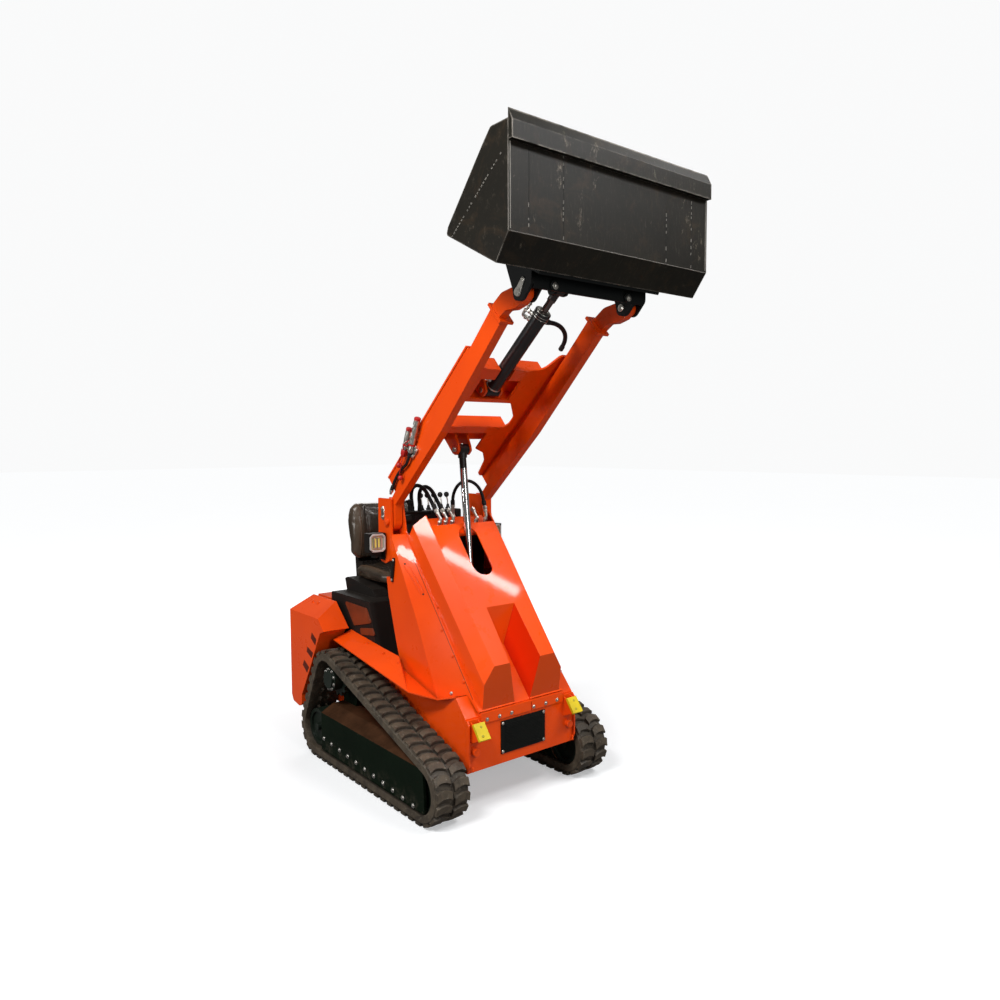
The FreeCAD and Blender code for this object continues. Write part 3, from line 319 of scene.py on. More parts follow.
# bump_paint is painted shade: the bumps carry the hood's own orange, given here a darker shaded orange
MAT["bump_paint"] = paint("bump_paint", (0.40, 0.060, 0.008), (0.34, 0.048, 0.007), rough=0.35, coat=0.25)
# slot_paint is painted shade: the slot walls carry the hood's own orange, given here a deeper red-orange
MAT["slot_paint"] = paint("slot_paint", (0.95, 0.050, 0.002), (0.80, 0.035, 0.002), rough=0.3, coat=0.3)
# louver_paint is painted shade: a shaded orange-brown for the dark insides of the fender louvers
MAT["louver_paint"] = paint("louver_paint", (0.13, 0.018, 0.008), (0.05, 0.008, 0.004), rough=0.5, coat=0.1)


def plastic(name, base, base2, rough=0.5, bump=0.25, scale=180.0, dust_amt=0.25, bevel=0.003):
    a = Mat(name)
    col = a.mix(a.ramp(a.noise(3.5, 4.0), 0.3, 0.75), base, base2)
    upf = a.math("MULTIPLY", a.ramp(a.normal_z(), 0.4, 0.95), a.ramp(a.noise(6.0, 7.0, 0.7), 0.35, 0.8))
    col = a.mix(a.math("MULTIPLY", upf, dust_amt), col, (0.20, 0.17, 0.13))
    scr = a.ramp(a.noise(22.0, 8.0, 0.75, vec=a.mapping(1, 6, 1)), 0.62, 0.72)
    col = a.mix(a.math("MULTIPLY", scr, 0.05), col, (0.20, 0.18, 0.16))
    a.set("Base Color", col)
    a.set("Roughness", a.math("ADD", rough, a.math("MULTIPLY", a.noise(12.0, 4.0), 0.18)))
    a.set("Specular IOR Level", 0.22)
    a.set("Normal", a.bump(a.noise(scale, 3.0, 0.6), bump, 0.0008, a.bevel(bevel)))
    return a.m


MAT["black_plastic"] = plastic("black_plastic", (0.0075, 0.0055, 0.0045), (0.013, 0.010, 0.008), dust_amt=0.10)
MAT["grille_black"] = plastic("grille_black", (0.0012, 0.0020, 0.0013), (0.0028, 0.0038, 0.0028), rough=0.75, dust_amt=0.05)
MAT["hose_rubber"] = plastic("hose_rubber", (0.008, 0.008, 0.009), (0.016, 0.016, 0.017), rough=0.42, bump=0.2, scale=320.0, dust_amt=0.12, bevel=0.001)


def dirty_metal(name, base, base2, rust=(0.17, 0.075, 0.03), rust_amt=0.35, rough=0.5, metallic=0.1, dust=(0.23, 0.19, 0.14), dust_amt=0.5, low_z=0.8):
    a = Mat(name)
    col = a.mix(a.ramp(a.noise(4.0, 4.0), 0.3, 0.7), base, base2)
    r = a.math("MULTIPLY", a.ramp(a.noise(11.0, 9.0, 0.7, dist=0.8), 0.50, 0.68), rust_amt)
    col = a.mix(r, col, rust)
    upf = a.math("MULTIPLY", a.ramp(a.normal_z(), 0.1, 0.8), a.ramp(a.noise(8.0, 8.0, 0.7), 0.3, 0.7))
    z = a.sep(a.tc.outputs["Object"])[2]
    low = a.math("MULTIPLY", a.math("SUBTRACT", low_z, z), 1.6, clamp=True)
    dd = a.math("MULTIPLY", a.math("ADD", a.math("MULTIPLY", low, a.ramp(a.noise(20.0, 8.0, 0.75), 0.45, 0.7)), upf), dust_amt, clamp=True)
    col = a.mix(dd, col, dust)
    a.set("Base Color", col)
    a.set("Metallic", metallic)
    a.set("Roughness", a.math("ADD", rough, a.math("MULTIPLY", dd, 0.4), clamp=True))
    a.set("Normal", a.bump(a.noise(70.0, 6.0, 0.7), 0.25, 0.001, a.bevel(0.003)))
    return a.m


MAT["dark_metal"] = dirty_metal("dark_metal", (0.010, 0.013, 0.010), (0.022, 0.026, 0.020))


def guard_mat():
    """Near-black green guard with a rust-brown sloped top."""
    a = Mat("guard_green")
    col = a.mix(a.ramp(a.noise(4.0, 4.0), 0.3, 0.7), (0.0012, 0.0050, 0.0014), (0.0030, 0.0085, 0.0030))
    up_ = a.ramp(a.normal_z(), 0.12, 0.30)
    rust_ = a.mix(a.ramp(a.noise(9.0, 8.0, 0.7), 0.35, 0.65), (0.034, 0.013, 0.005), (0.075, 0.030, 0.013))
    col = a.mix(a.math("MULTIPLY", up_, 0.9), col, rust_)
    z = a.sep(a.tc.outputs["Object"])[2]
    low = a.math("MULTIPLY", a.math("SUBTRACT", 0.16, z), 8.0, clamp=True)
    dd = a.math("MULTIPLY", low, a.ramp(a.noise(24.0, 9.0, 0.8), 0.50, 0.72))
    col = a.mix(a.math("MULTIPLY", dd, 0.55), col, (0.16, 0.13, 0.10))
    sp = a.ramp(a.noise(75.0, 6.0, 0.8), 0.68, 0.74)
    col = a.mix(a.math("MULTIPLY", sp, 0.6), col, (0.28, 0.26, 0.22))
    a.set("Base Color", col)
    a.set("Roughness", a.math("ADD", 0.55, a.math("MULTIPLY", a.noise(15.0, 5.0), 0.2)))
    a.set("Specular IOR Level", 0.10)
    a.set("Normal", a.bump(a.noise(60.0, 6.0, 0.7), 0.25, 0.001, a.bevel(0.003)))
    return a.m


MAT["guard_green"] = guard_mat()
MAT["guard_top"] = dirty_metal("guard_top", (0.035, 0.022, 0.012), (0.06, 0.032, 0.016), rust_amt=0.6)
MAT["cylinder_black"] = dirty_metal("cylinder_black", (0.008, 0.008, 0.009), (0.015, 0.015, 0.016), rust_amt=0.05, rough=0.28, dust_amt=0.08)


def bucket_mat():
    a = Mat("bucket_steel")
    base = a.mix(a.ramp(a.noise(3.0, 5.0), 0.3, 0.7), (0.0048, 0.0040, 0.0022), (0.0105, 0.0084, 0.0046))
    # long scratches down the floor
    scr = a.ramp(a.noise(26.0, 10.0, 0.8, vec=a.mapping(9.0, 1.0, 0.7)), 0.56, 0.66)
    scr2 = a.ramp(a.noise(14.0, 10.0, 0.85, vec=a.mapping(1.2, 1.0, 5.0, (0, 0.5, 0))), 0.60, 0.68)
    s = a.math("MAXIMUM", a.math("MULTIPLY", scr, 0.55), a.math("MULTIPLY", scr2, 0.35))
    col = a.mix(s, base, (0.055, 0.046, 0.034))
    rust = a.ramp(a.noise(7.0, 10.0, 0.72, dist=1.2), 0.53, 0.66)
    col = a.mix(a.math("MULTIPLY", rust, 0.22), col, (0.070, 0.040, 0.018))
    tan = a.ramp(a.noise(18.0, 8.0, 0.8), 0.60, 0.75)
    col = a.mix(a.math("MULTIPLY", tan, 0.22), col, (0.24, 0.18, 0.12))
    e = a.math("MULTIPLY", a.edge(0.008, 4.0), a.ramp(a.noise(24.0, 6.0), 0.35, 0.55), clamp=True)
    col = a.mix(a.math("MULTIPLY", e, 0.85), col, (0.42, 0.38, 0.33))
    worn = a.math("MULTIPLY", a.ramp(a.noise(5.5, 10.0, 0.8, vec=a.mapping(1.6, 1.0, 0.8)), 0.60, 0.66), a.ramp(a.noise(40.0, 6.0, 0.75), 0.45, 0.58))
    col = a.mix(a.math("MULTIPLY", worn, 0.55), col, (0.30, 0.25, 0.19))
    a.set("Base Color", col)
    a.set("Metallic", a.math("MULTIPLY", e, 0.7))
    a.set("Roughness", a.math("SUBTRACT", 0.50, a.math("MULTIPLY", s, 0.12)))
    a.set("Specular IOR Level", 0.22)
    a.set("Normal", a.bump(a.mix(0.5, scr, a.noise(45.0, 6.0)), 0.22, 0.0012, a.bevel(0.003)))
    return a.m


MAT["bucket_steel"] = bucket_mat()


def metal(name, base, rough, aniso=0.0, grime_and_shade=0.3, metallic=1.0, scale=60.0):
    a = Mat(name)
    g = a.math("MULTIPLY", a.ramp(a.noise(scale, 6.0, 0.7), 0.5, 0.75), grime_and_shade)
    col = a.mix(g, base, tuple(c * 0.45 for c in base))
    a.set("Base Color", col)
    a.set("Metallic", metallic)
    a.set("Roughness", a.math("ADD", rough, a.math("MULTIPLY", a.noise(25.0, 4.0), 0.12)))
    a.set("Anisotropic", aniso)
    a.set("Normal", a.bump(a.noise(300.0, 2.0), 0.05, 0.0003, a.bevel(0.0012)))
    return a.m


MAT["hitch_black"] = plastic("hitch_black", (0.0035, 0.0050, 0.0052), (0.0070, 0.0080, 0.0078), rough=0.38, bump=0.15, scale=60.0, dust_amt=0.05)
MAT["console_black"] = plastic("console_black", (0.012, 0.012, 0.013), (0.024, 0.023, 0.022), rough=0.45, bump=0.2, scale=200.0, dust_amt=0.2)


def rod_mat(name, centre, reach, bright, dark):
    """Polished rod whose end fitting, within reach of centre, is painted black."""
    a = Mat(name)
    d = a.n.new("ShaderNodeVectorMath")
    d.operation = "DISTANCE"
    a.link(a.tc.outputs["Object"], d.inputs[0])
    d.inputs[1].default_value = centre
    k = a.math("LESS_THAN", d.outputs["Value"], reach)
    streak = a.ramp(a.noise(30.0, 5.0, 0.6, vec=a.mapping(1, 0.15, 0.15)), 0.45, 0.75)
    col = a.mix(a.math("MULTIPLY", streak, 0.25), bright, tuple(c * 0.6 for c in bright))
    col = a.mix(k, col, dark)
    a.set("Base Color", col)
    a.set("Metallic", a.math("SUBTRACT", 1.0, a.math("MULTIPLY", k, 0.9)))
    a.set("Roughness", a.math("ADD", 0.07, a.math("MULTIPLY", k, 0.3)))
    a.set("Normal", a.bump(a.noise(250.0, 2.0), 0.03, 0.0003, a.bevel(0.0012)))
    return a.m


MAT["lift_rod"] = rod_mat("lift_rod", tuple(D(0, -155, 1660)), 0.098, (0.78, 0.77, 0.78), (0.015, 0.013, 0.012))
MAT["tilt_rod"] = rod_mat("tilt_rod", tuple(D(0, -862, 2345)), 0.052, (0.16, 0.12, 0.11), (0.03, 0.022, 0.02))
MAT["zinc_steel"] = metal("zinc_steel", (0.62, 0.60, 0.55), 0.26)
MAT["chrome_rod"] = metal("chrome_rod", (0.80, 0.81, 0.83), 0.05, grime_and_shade=0.05)
MAT["bolt_steel"] = metal("bolt_steel", (0.55, 0.53, 0.50), 0.32)
MAT["hub_steel"] = metal("hub_steel", (0.007, 0.014, 0.008), 0.42, grime_and_shade=0.6, metallic=0.25)


def flat(name, base, rough, bump=0.15, scale=120.0, var=0.7):
    a = Mat(name)
    col = a.mix(a.ramp(a.noise(9.0, 5.0), 0.35, 0.75), base, tuple(c * var for c in base))
    a.set("Base Color", col)
    a.set("Roughness", a.math("ADD", rough, a.math("MULTIPLY", a.noise(16.0, 4.0), 0.12)))
    a.set("Normal", a.bump(a.noise(scale, 4.0), bump, 0.0008, a.bevel(0.002)))
    return a.m


MAT["yellow_pad"] = flat("yellow_pad", (0.80, 0.60, 0.0), 0.5)
MAT["red_cap"] = flat("red_cap", (0.55, 0.012, 0.010), 0.4)
MAT["inset_brown"] = flat("inset_brown", (0.20, 0.034, 0.006), 0.4, var=0.5)
MAT["piping_brown"] = flat("piping_brown", (0.09, 0.045, 0.022), 0.55)
MAT["dark_gap"] = flat("dark_gap", (0.004, 0.004, 0.004), 0.8)


def vinyl():
    a = Mat("seat_vinyl")
    col = a.mix(a.ramp(a.noise(5.0, 4.0), 0.3, 0.75), (0.016, 0.0115, 0.0080), (0.030, 0.022, 0.015))
    ax = a.math("ABSOLUTE", a.sep(a.tc.outputs["Object"])[0])
    # painted highlight: a lighter tan band down each bolster, where the shiny vinyl catches the light
    bolster_highlight = a.math("MULTIPLY", a.ramp(ax, 0.150, 0.172), a.math("SUBTRACT", 1.0, a.ramp(ax, 0.198, 0.218)))
    col = a.mix(a.math("MULTIPLY", bolster_highlight, 0.55), col, (0.115, 0.082, 0.055))
    col = a.mix(a.math("MULTIPLY", a.ramp(a.noise(30.0, 8.0, 0.7), 0.55, 0.75), 0.12), col, (0.16, 0.13, 0.10))
    a.set("Base Color", col)
    a.set("Roughness", a.math("ADD", 0.26, a.math("MULTIPLY", a.noise(10.0, 4.0), 0.14)))
    vo = a.n.new("ShaderNodeTexVoronoi")
    vo.inputs["Scale"].default_value = 420.0
    a.link(a.tc.outputs["Object"], vo.inputs["Vector"])
    a.set("Normal", a.bump(vo.outputs["Distance"], 0.14, 0.0005))
    a.set("Coat Weight", 0.45)
    a.set("Coat Roughness", 0.28)
    a.set("Coat Tint", (1.0, 0.90, 0.78, 1.0))
    return a.m


MAT["seat_vinyl"] = vinyl()


def track_mat():
    a = Mat("track_rubber")
    base = a.mix(a.ramp(a.noise(6.0, 5.0), 0.3, 0.7), (0.020, 0.0135, 0.0080), (0.036, 0.025, 0.015))
    dusty = a.ramp(a.noise(13.0, 9.0, 0.75, dist=0.5), 0.36, 0.62)
    col = a.mix(a.math("MULTIPLY", dusty, 0.5), base, (0.17, 0.13, 0.085))
    spots = a.ramp(a.noise(60.0, 8.0, 0.8), 0.57, 0.70)
    col = a.mix(a.math("MULTIPLY", spots, 0.5), col, (0.40, 0.36, 0.29))
    # painted shade in the gaps between the lugs, from ambient occlusion
    gap_shade = a.ramp(a.ao(0.035), 0.35, 0.95, (1, 1, 1, 1), (0, 0, 0, 1))
    col = a.mix(a.math("MULTIPLY", gap_shade, 0.8), col, (0.014, 0.011, 0.008))
    a.set("Base Color", col)
    a.set("Roughness", a.math("ADD", 0.48, a.math("MULTIPLY", dusty, 0.25)))
    a.set("Normal", a.bump(a.noise(85.0, 8.0, 0.75), 0.5, 0.0025, a.bevel(0.003)))
    return a.m


MAT["track_rubber"] = track_mat()


def lens_mat():
    a = Mat("light_lens")
    w = a.n.new("ShaderNodeTexWave")
    w.inputs["Scale"].default_value = 9.0
    w.bands_direction = "X"
    a.link(a.tc.outputs["Object"], w.inputs["Vector"])
    col = a.mix(w.outputs["Fac"], (0.62, 0.60, 0.50), (0.72, 0.66, 0.30))
    a.set("Base Color", col)
    a.set("Roughness", 0.12)
    a.set("Metallic", 0.35)
    a.set("Coat Weight", 1.0)
    a.set("Coat Roughness", 0.03)
    a.set("Normal", a.bump(w.outputs["Fac"], 0.4, 0.002))
    return a.m


MAT["light_lens"] = lens_mat()

MAT["pad_bolt"] = flat("pad_bolt", (0.50, 0.40, 0.01), 0.5)
MAT["light_ring"] = metal("light_ring", (0.62, 0.60, 0.57), 0.35, metallic=0.4)
MAT["light_dot"] = flat("light_dot", (0.85, 0.72, 0.16), 0.25, bump=0.05)
MAT["weld_steel"] = flat("weld_steel", (0.26, 0.24, 0.21), 0.5, bump=0.3, scale=300.0, var=0.4)
MAT["worn_steel"] = flat("worn_steel", (0.20, 0.18, 0.155), 0.45, bump=0.3, scale=160.0, var=0.25)

# assign CAD nodes
record = frame["record"]
slot_of = {s["node"]: s["material_slot"] for s in record["subparts"]}
# inner_panels get the console black: painted shade for the unlit inside of the body seen through the hood
OVER = {"front_grille_plate": "grille_black", "seat_inset_panels": "inset_brown", "drive_sprockets": "hub_steel", "idlers": "hub_steel", "arm_pins": "orange_paint", "track_frames": "guard_green", "hood": "hood_paint", "inner_panels": "console_black", "hitch_plate": "hitch_black", "console": "console_black",
        "lift_cylinder_rod": "lift_rod", "tilt_cylinder_rod": "tilt_rod"}
for name, o in nodes.items():
    mt = MAT[OVER.get(name, slot_of[name])]
    if not o.material_slots:
        o.data.materials.append(mt)
    for ms in o.material_slots:
        ms.material = mt


# ------------------------------------------------------------------------------------------- mesh batches
class Batch:
    """Joined mesh of many small things on one body with one material."""

    def __init__(self, name, body, mat, smooth=True, slot=None):
        self.name, self.body, self.mat, self.smooth, self.slot = name, body, mat, smooth, slot
        self.v, self.f = [], []

    def add(self, verts, faces):
        k = len(self.v)
        self.v += [tuple(p) for p in verts]
        self.f += [tuple(i + k for i in q) for q in faces]

    def done(self, angle=35.0):
        me = bpy.data.meshes.new(self.name)
        me.from_pydata(self.v, [], self.f)
        me.validate()
        me.update()
        bm = bmesh.new()
        bm.from_mesh(me)
        bmesh.ops.recalc_face_normals(bm, faces=bm.faces)
        bm.to_mesh(me)
        bm.free()
        o = bpy.data.objects.new(self.name, me)
        bpy.context.scene.collection.objects.link(o)
        me.materials.append(MAT[self.mat])
        if self.smooth:
            me.shade_smooth()
            me.set_sharp_from_angle(angle=math.radians(angle))
        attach(o, self.body)
        return o


def frame_of(axis, ref=None):
    a = Vector(axis).normalized()
    r = Vector(ref) if ref is not None else (X if abs(a.x) < 0.9 else Y)
    u = (r - a * r.dot(a)).normalized()
    return a, u, a.cross(u)


def lathe(b, origin, axis, profile, seg=24, ref=None, rot=0.0):
    """profile: list of (distance along the axis, radius); closed at both ends."""
    a, u, w = frame_of(axis, ref)
    o = Vector(origin)
    verts, faces = [], []
    n = len(profile)
    for h, r in profile:
        for k in range(seg):
            t = 2 * math.pi * k / seg + rot
            verts.append(o + a * h + (u * math.cos(t) + w * math.sin(t)) * r)
    for i in range(n - 1):
        for k in range(seg):
            faces.append((i * seg + k, i * seg + (k + 1) % seg, (i + 1) * seg + (k + 1) % seg, (i + 1) * seg + k))
    faces.append(tuple(range(seg))[::-1])
    faces.append(tuple(range((n - 1) * seg, n * seg)))
    b.add(verts, faces)


def bolt(b, origin, axis, r=0.0075, h=0.005, washer=True, ref=None, rot=0.3):
    """Hexagon head with a washer and a rounded top."""
    if washer:
        lathe(b, origin, axis, [(0.0, r * 1.55), (0.0014, r * 1.55), (0.0018, r * 1.4)], 20)
        o = Vector(origin) + Vector(axis).normalized() * 0.0016
    else:
        o = Vector(origin)
    lathe(b, o, axis, [(0.0, r), (h * 0.85, r), (h, r * 0.82)], 6, ref, rot)


def dome(b, origin, axis, r=0.007, h=0.0035):
    lathe(b, origin, axis, [(0, r), (h * 0.5, r * 0.92), (h * 0.85, r * 0.6), (h, r * 0.2)], 16)


def tube(b, pts, r, seg=12, caps=True):
    """Tube along a dense list of points."""
    pts = [Vector(p) for p in pts]
    n = len(pts)
    tang = []
    for i in range(n):
        a = pts[max(0, i - 1)]
        c = pts[min(n - 1, i + 1)]
        tang.append((c - a).normalized())
    _, u, w = frame_of(tang[0])
    verts, faces = [], []
    for i in range(n):
        t = tang[i]
        u = (u - t * u.dot(t)).normalized()
        w = t.cross(u)
        rr = r[i] if isinstance(r, (list, tuple)) else r
        for k in range(seg):
            q = 2 * math.pi * k / seg
            verts.append(pts[i] + (u * math.cos(q) + w * math.sin(q)) * rr)
    for i in range(n - 1):
        for k in range(seg):
            faces.append((i * seg + k, i * seg + (k + 1) % seg, (i + 1) * seg + (k + 1) % seg, (i + 1) * seg + k))
    if caps:
        faces.append(tuple(range(seg))[::-1])
        faces.append(tuple(range((n - 1) * seg, n * seg)))
    b.add(verts, faces)


def smooth_path(pts, step=8):
    """Catmull-Rom through the points."""
    p = [Vector(q) for q in pts]
    p = [p[0] * 2 - p[1]] + p + [p[-1] * 2 - p[-2]]
    out = []
    for i in range(1, len(p) - 2):
        for k in range(step):
            t = k / step
            out.append(0.5 * ((2 * p[i]) + (p[i + 1] - p[i - 1]) * t + (2 * p[i - 1] - 5 * p[i] + 4 * p[i + 1] - p[i + 2]) * t * t + (3 * p[i] - p[i - 1] - 3 * p[i + 1] + p[i + 2]) * t ** 3))
    out.append(p[-2])
    return out


def bead(b, p, q, r=0.0035, n=None, nrm=None):
    """Weld bead: a rippled half-round strip."""
    p, q = Vector(p), Vector(q)
    L = (q - p).length
    n = n or max(6, int(L / 0.0028))
    pts, rad = [], []
    for i in range(n + 1):
        t = i / n
        pts.append(p.lerp(q, t))
        rad.append(r * (0.88 + 0.12 * math.cos(i * 2.1) + random.uniform(-0.05, 0.05)))
    tube(b, pts, rad, 7)


def plate(b, pts, nrm, t, inset=0.0015):
    """Flat plate from a planar outline, thickness t along nrm, with a small chamfer on the outer edge."""
    pts = [Vector(p) for p in pts]
    nrm = Vector(nrm).normalized()
    c = sum(pts, Vector()) / len(pts)
    n = len(pts)
    inner = [p + (c - p).normalized() * inset for p in pts]
    verts = pts + [p + nrm * (t - inset) for p in pts] + [p + nrm * t for p in inner]
    faces = [tuple(range(n))[::-1], tuple(range(2 * n, 3 * n))]
    for k in range(n):
        j = (k + 1) % n
        faces.append((k, j, n + j, n + k))
        faces.append((n + k, n + j, 2 * n + j, 2 * n + k))
    b.add(verts, faces)


def slab(b, c, u, v, w, su, sv, sw, ch=0.001):
    """Box centred on c with half sizes su, sv, sw along u, v, w and chamfered edges on the w side."""
    c = Vector(c)
    P = []
    for z, k in ((-sw, 0), (sw - ch, 0), (sw, ch)):
        for sx, sy in ((-1, -1), (1, -1), (1, 1), (-1, 1)):
            P.append(c + Vector(u) * (sx * (su - k)) + Vector(v) * (sy * (sv - k)) + Vector(w) * z)
    F = [(3, 2, 1, 0), (8, 9, 10, 11)]
    for i in (0, 4):
        for k in range(4):
            j = (k + 1) % 4
            F.append((i + k, i + j, i + 4 + j, i + 4 + k))
    b.add(P, F)


# ------------------------------------------------------------------------------------------- tracks
IDF, IDR, SPR = (-520.0, 157.0), (514.0, 157.0), (368.0, 452.0)
R_TIP, R_BELT, R_IN = 157.0, 141.0, 102.0


def loop_segments():
    c = [IDF, SPR, IDR]
    t = []
    for i in range(3):
        a, b = c[i], c[(i + 1) % 3]
        dx, dz = b[0] - a[0], b[1] - a[1]
        l = math.hypot(dx, dz)
        t.append((a, b, (-dz / l, dx / l), l))
    segs, total = [], 0.0
    for i in range(3):
        a, b, nrm, l = t[i]
        segs.append(("line", a, b, nrm, l))
        total += l
        nn = t[(i + 1) % 3][2]
        a0 = math.atan2(nrm[1], nrm[0])
        a1 = math.atan2(nn[1], nn[0])
        d = (a0 - a1) % (2 * math.pi)
        segs.append(("arc", b, a0, d, R_BELT * d))
        total += R_BELT * d
    return segs, total


SEGS, TOTAL = loop_segments()


def loop_at(s):
    """Centre of turning, outward normal (y, z)."""
    s %= TOTAL
    for g in SEGS:
        if s <= g[4] + 1e-9:
            if g[0] == "line":
                u = s / g[4]
                return (g[1][0] + (g[2][0] - g[1][0]) * u, g[1][1] + (g[2][1] - g[1][1]) * u), g[3]
            ang = g[2] - g[3] * (s / g[4])
            return g[1], (math.cos(ang), math.sin(ang))
        s -= g[4]
    return loop_at(0.0)


def track_mesh(side):
    """Belt with two columns of chevron lugs and a groove between, as one joined mesh."""
    b = Batch("track_tread_" + side, "chassis", "track_rubber", slot="track_rubber")
    sg = -1.0 if side == "right" else 1.0
    x0, x1 = 345.0, 525.0     # inner and outer

    def P(x, s, r):
        c, n = loop_at(s)
        return D(sg * x, c[0] + n[0] * r, max(c[1] + n[1] * r, 0.4))

    N = 220
    sec = [(x0 + 2, R_IN + 0.5), (x0 + 2, R_BELT - 5), (x0 + 8, R_BELT), (x0 + 82, R_BELT), (x0 + 86, R_BELT - 3), (x0 + 94, R_BELT - 3), (x0 + 98, R_BELT), (x1 - 8, R_BELT), (x1 - 2, R_BELT - 5), (x1 - 2, R_IN + 0.5)]
    verts, faces = [], []
    m_ = len(sec)
    for i in range(N):
        for x, r in sec:
            verts.append(P(x, TOTAL * i / N, r))
    for i in range(N):
        j = (i + 1) % N
        for k in range(m_):
            l = (k + 1) % m_
            faces.append((i * m_ + k, i * m_ + l, j * m_ + l, j * m_ + k))
    b.add(verts, faces)
    LUGS = 52
    pitch = TOTAL / LUGS
    rng = random.Random(3 if side == "right" else 5)
    for k in range(LUGS):
        for col in (0, 1):
            # each lug is a shallow C: its outer end trails, its inner end hooks forward
            s0 = (k + 0.5 + (0.0 if col else 0.5)) * pitch
            if col:
                xs = [x0 + 97, x0 + 112, x0 + 134, x0 + 156, x1 - 4]
                off = [-13, -4, 1, 0, -9]
                wid = [17, 17.5, 18, 18, 19]
            else:
                xs = [x0 + 4, x0 + 24, x0 + 46, x0 + 68, x0 + 83]
                off = [-9, 0, 1, -4, -13]
                wid = [19, 18, 18, 17.5, 17]
            V0 = []
            for i, x in enumerate(xs):
                w = wid[i] + rng.uniform(-0.6, 0.6)
                o = off[i]
                top = R_TIP - (1.5 + rng.uniform(0, 1.5) if i in (0, 4) else rng.uniform(0, 1.2))
                xa = x
                V0.append([P(xa, s0 + o - w - 2, R_BELT - 1), P(xa, s0 + o - w, R_TIP - 5), P(xa, s0 + o - w + 2, top), P(xa, s0 + o + w - 2, top), P(xa, s0 + o + w, R_TIP - 5), P(xa, s0 + o + w + 2, R_BELT - 1)])
            verts = [p for q in V0 for p in q]
            faces = []
            for i in range(4):
                for j in range(5):
                    faces.append((i * 6 + j, i * 6 + j + 1, (i + 1) * 6 + j + 1, (i + 1) * 6 + j))
            faces.append((0, 1, 2, 3, 4, 5))
            faces.append((29, 28, 27, 26, 25, 24))
            b.add(verts, faces)
    # drive lugs on the inside
    for k in range(LUGS):
        s0 = (k + 0.25) * pitch
        for x in (x0 + 62, x0 + 104):
            V0 = []
            for xa, rr in ((x, 0), (x + 14, 0)):
                V0 += [P(xa, s0 - 12, R_IN + 1), P(xa + (3 if xa == x else -3), s0 - 7, R_IN - 13), P(xa + (3 if xa == x else -3), s0 + 7, R_IN - 13), P(xa, s0 + 12, R_IN + 1)]
            b.add(V0, [(0, 1, 2, 3), (7, 6, 5, 4), (0, 4, 5, 1), (1, 5, 6, 2), (2, 6, 7, 3)])
    o = b.done(30)
    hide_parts("track_" + side)
    return o


track_mesh("right")
track_mesh("left")

# undercarriage details: bolts along the guard and hub bolts
for side, sg in (("right", -1.0), ("left", 1.0)):
    b = Batch("undercarriage_bolts_" + side, "chassis", "bolt_steel")
    for k in range(11):
        t = k / 10.0
        y = 400 + (-470 - 400) * t
        z = 128 + (74 - 128) * t
        bolt(b, D(sg * 517.0, y, z), X * sg, 0.0075, 0.005)
    for k in range(9):
        a = 2 * math.pi * k / 9
        bolt(b, D(sg * 495.0, SPR[0] + 52 * math.cos(a), SPR[1] + 52 * math.sin(a)), X * sg, 0.006, 0.006)
    b.done()

# ------------------------------------------------------------------------------------------- hoses
def cord(name, node, pts, d):
    """Hose along its route: one open spline with the route's own points."""
    cu = bpy.data.curves.new(name, "CURVE")
    cu.dimensions = "3D"
    cu.bevel_depth = d / 2000.0
    cu.bevel_resolution = 5
    cu.resolution_u = 10
    cu.use_fill_caps = True
    sp = cu.splines.new("NURBS")
    sp.points.add(len(pts) - 1)
    P = [D(*q) for q in pts]
    for k, q in enumerate(P):
        sp.points[k].co = (q.x, q.y, q.z, 1.0)
    sp.order_u = 3
    sp.use_endpoint_u = True
    cu.materials.append(MAT["hose_rubber"])
    o = bpy.data.objects.new(name, cu)
    bpy.context.scene.collection.objects.link(o)
    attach(o, [b for b, ns in record["behaviour"]["bodies"].items() if node in ns][0])
    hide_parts(node)
    return o


HOSE_ARCH = [(170, -118, 1366), (167.2, -111.1, 1403.2), (160, -102, 1441), (140, -92, 1474), (106, -82, 1496), (68, -73, 1496), (36, -63, 1474), (20, -53, 1438), (20, -42, 1404), (20, -42, 1372)]
HOSE_LOOP_A = [(-132, -104, 1362), (-145.9, -83.2, 1405.3), (-155.9, -60.7, 1449.4), (-161.9, -18.7, 1476.7), (-162.9, 31.3, 1478.5), (-157, 74.8, 1454.4), (-146, 98, 1412), (-137, 102, 1376), (-137, 102, 1340)]
HOSE_LOOP_B = [(-95, -104, 1362), (-108, -84.4, 1402.7), (-116, -63, 1443.7), (-120, -23.7, 1469.1), (-119, 23.3, 1470.7), (-115, 62, 1448.1), (-107, 82.3, 1409), (-101, 86, 1375), (-101, 86, 1340)]
HOSE_ARM = [(-322, -175, 1648), (-322, -155, 1601.85), (-317, -108, 1576), (-313, -57, 1549), (-313, -16, 1508), (-314, 10, 1462)]
TPY, TPZ = -390.0 + (-862.0 + 390.0) / 620.639 * 444, 1942.0 + (2345.0 - 1942.0) / 620.639 * 444
HOSE_TILT_SN = [(50, 0, 0), (92, 0, 0), (133, -8, 0), (171, -25, 0), (204, -49, -1), (228, -80, -2), (240, -115, -3), (243, -148, -3)]
HOSE_TILT = [(x, TPY + AD[0] * a + AN[0] * b, TPZ + AD[1] * a + AN[1] * b) for x, a, b in HOSE_TILT_SN]
cord("hose_arch_cord", "hose_arch", HOSE_ARCH, 17.0)
cord("hose_loop_outer_cord", "hose_loop_outer", HOSE_LOOP_A, 20.0)
cord("hose_loop_inner_cord", "hose_loop_inner", HOSE_LOOP_B, 20.0)
cord("hose_arm_cord", "hose_arm", HOSE_ARM, 15.0)
cord("hose_tilt_cord", "hose_tilt", HOSE_TILT, 21.0)


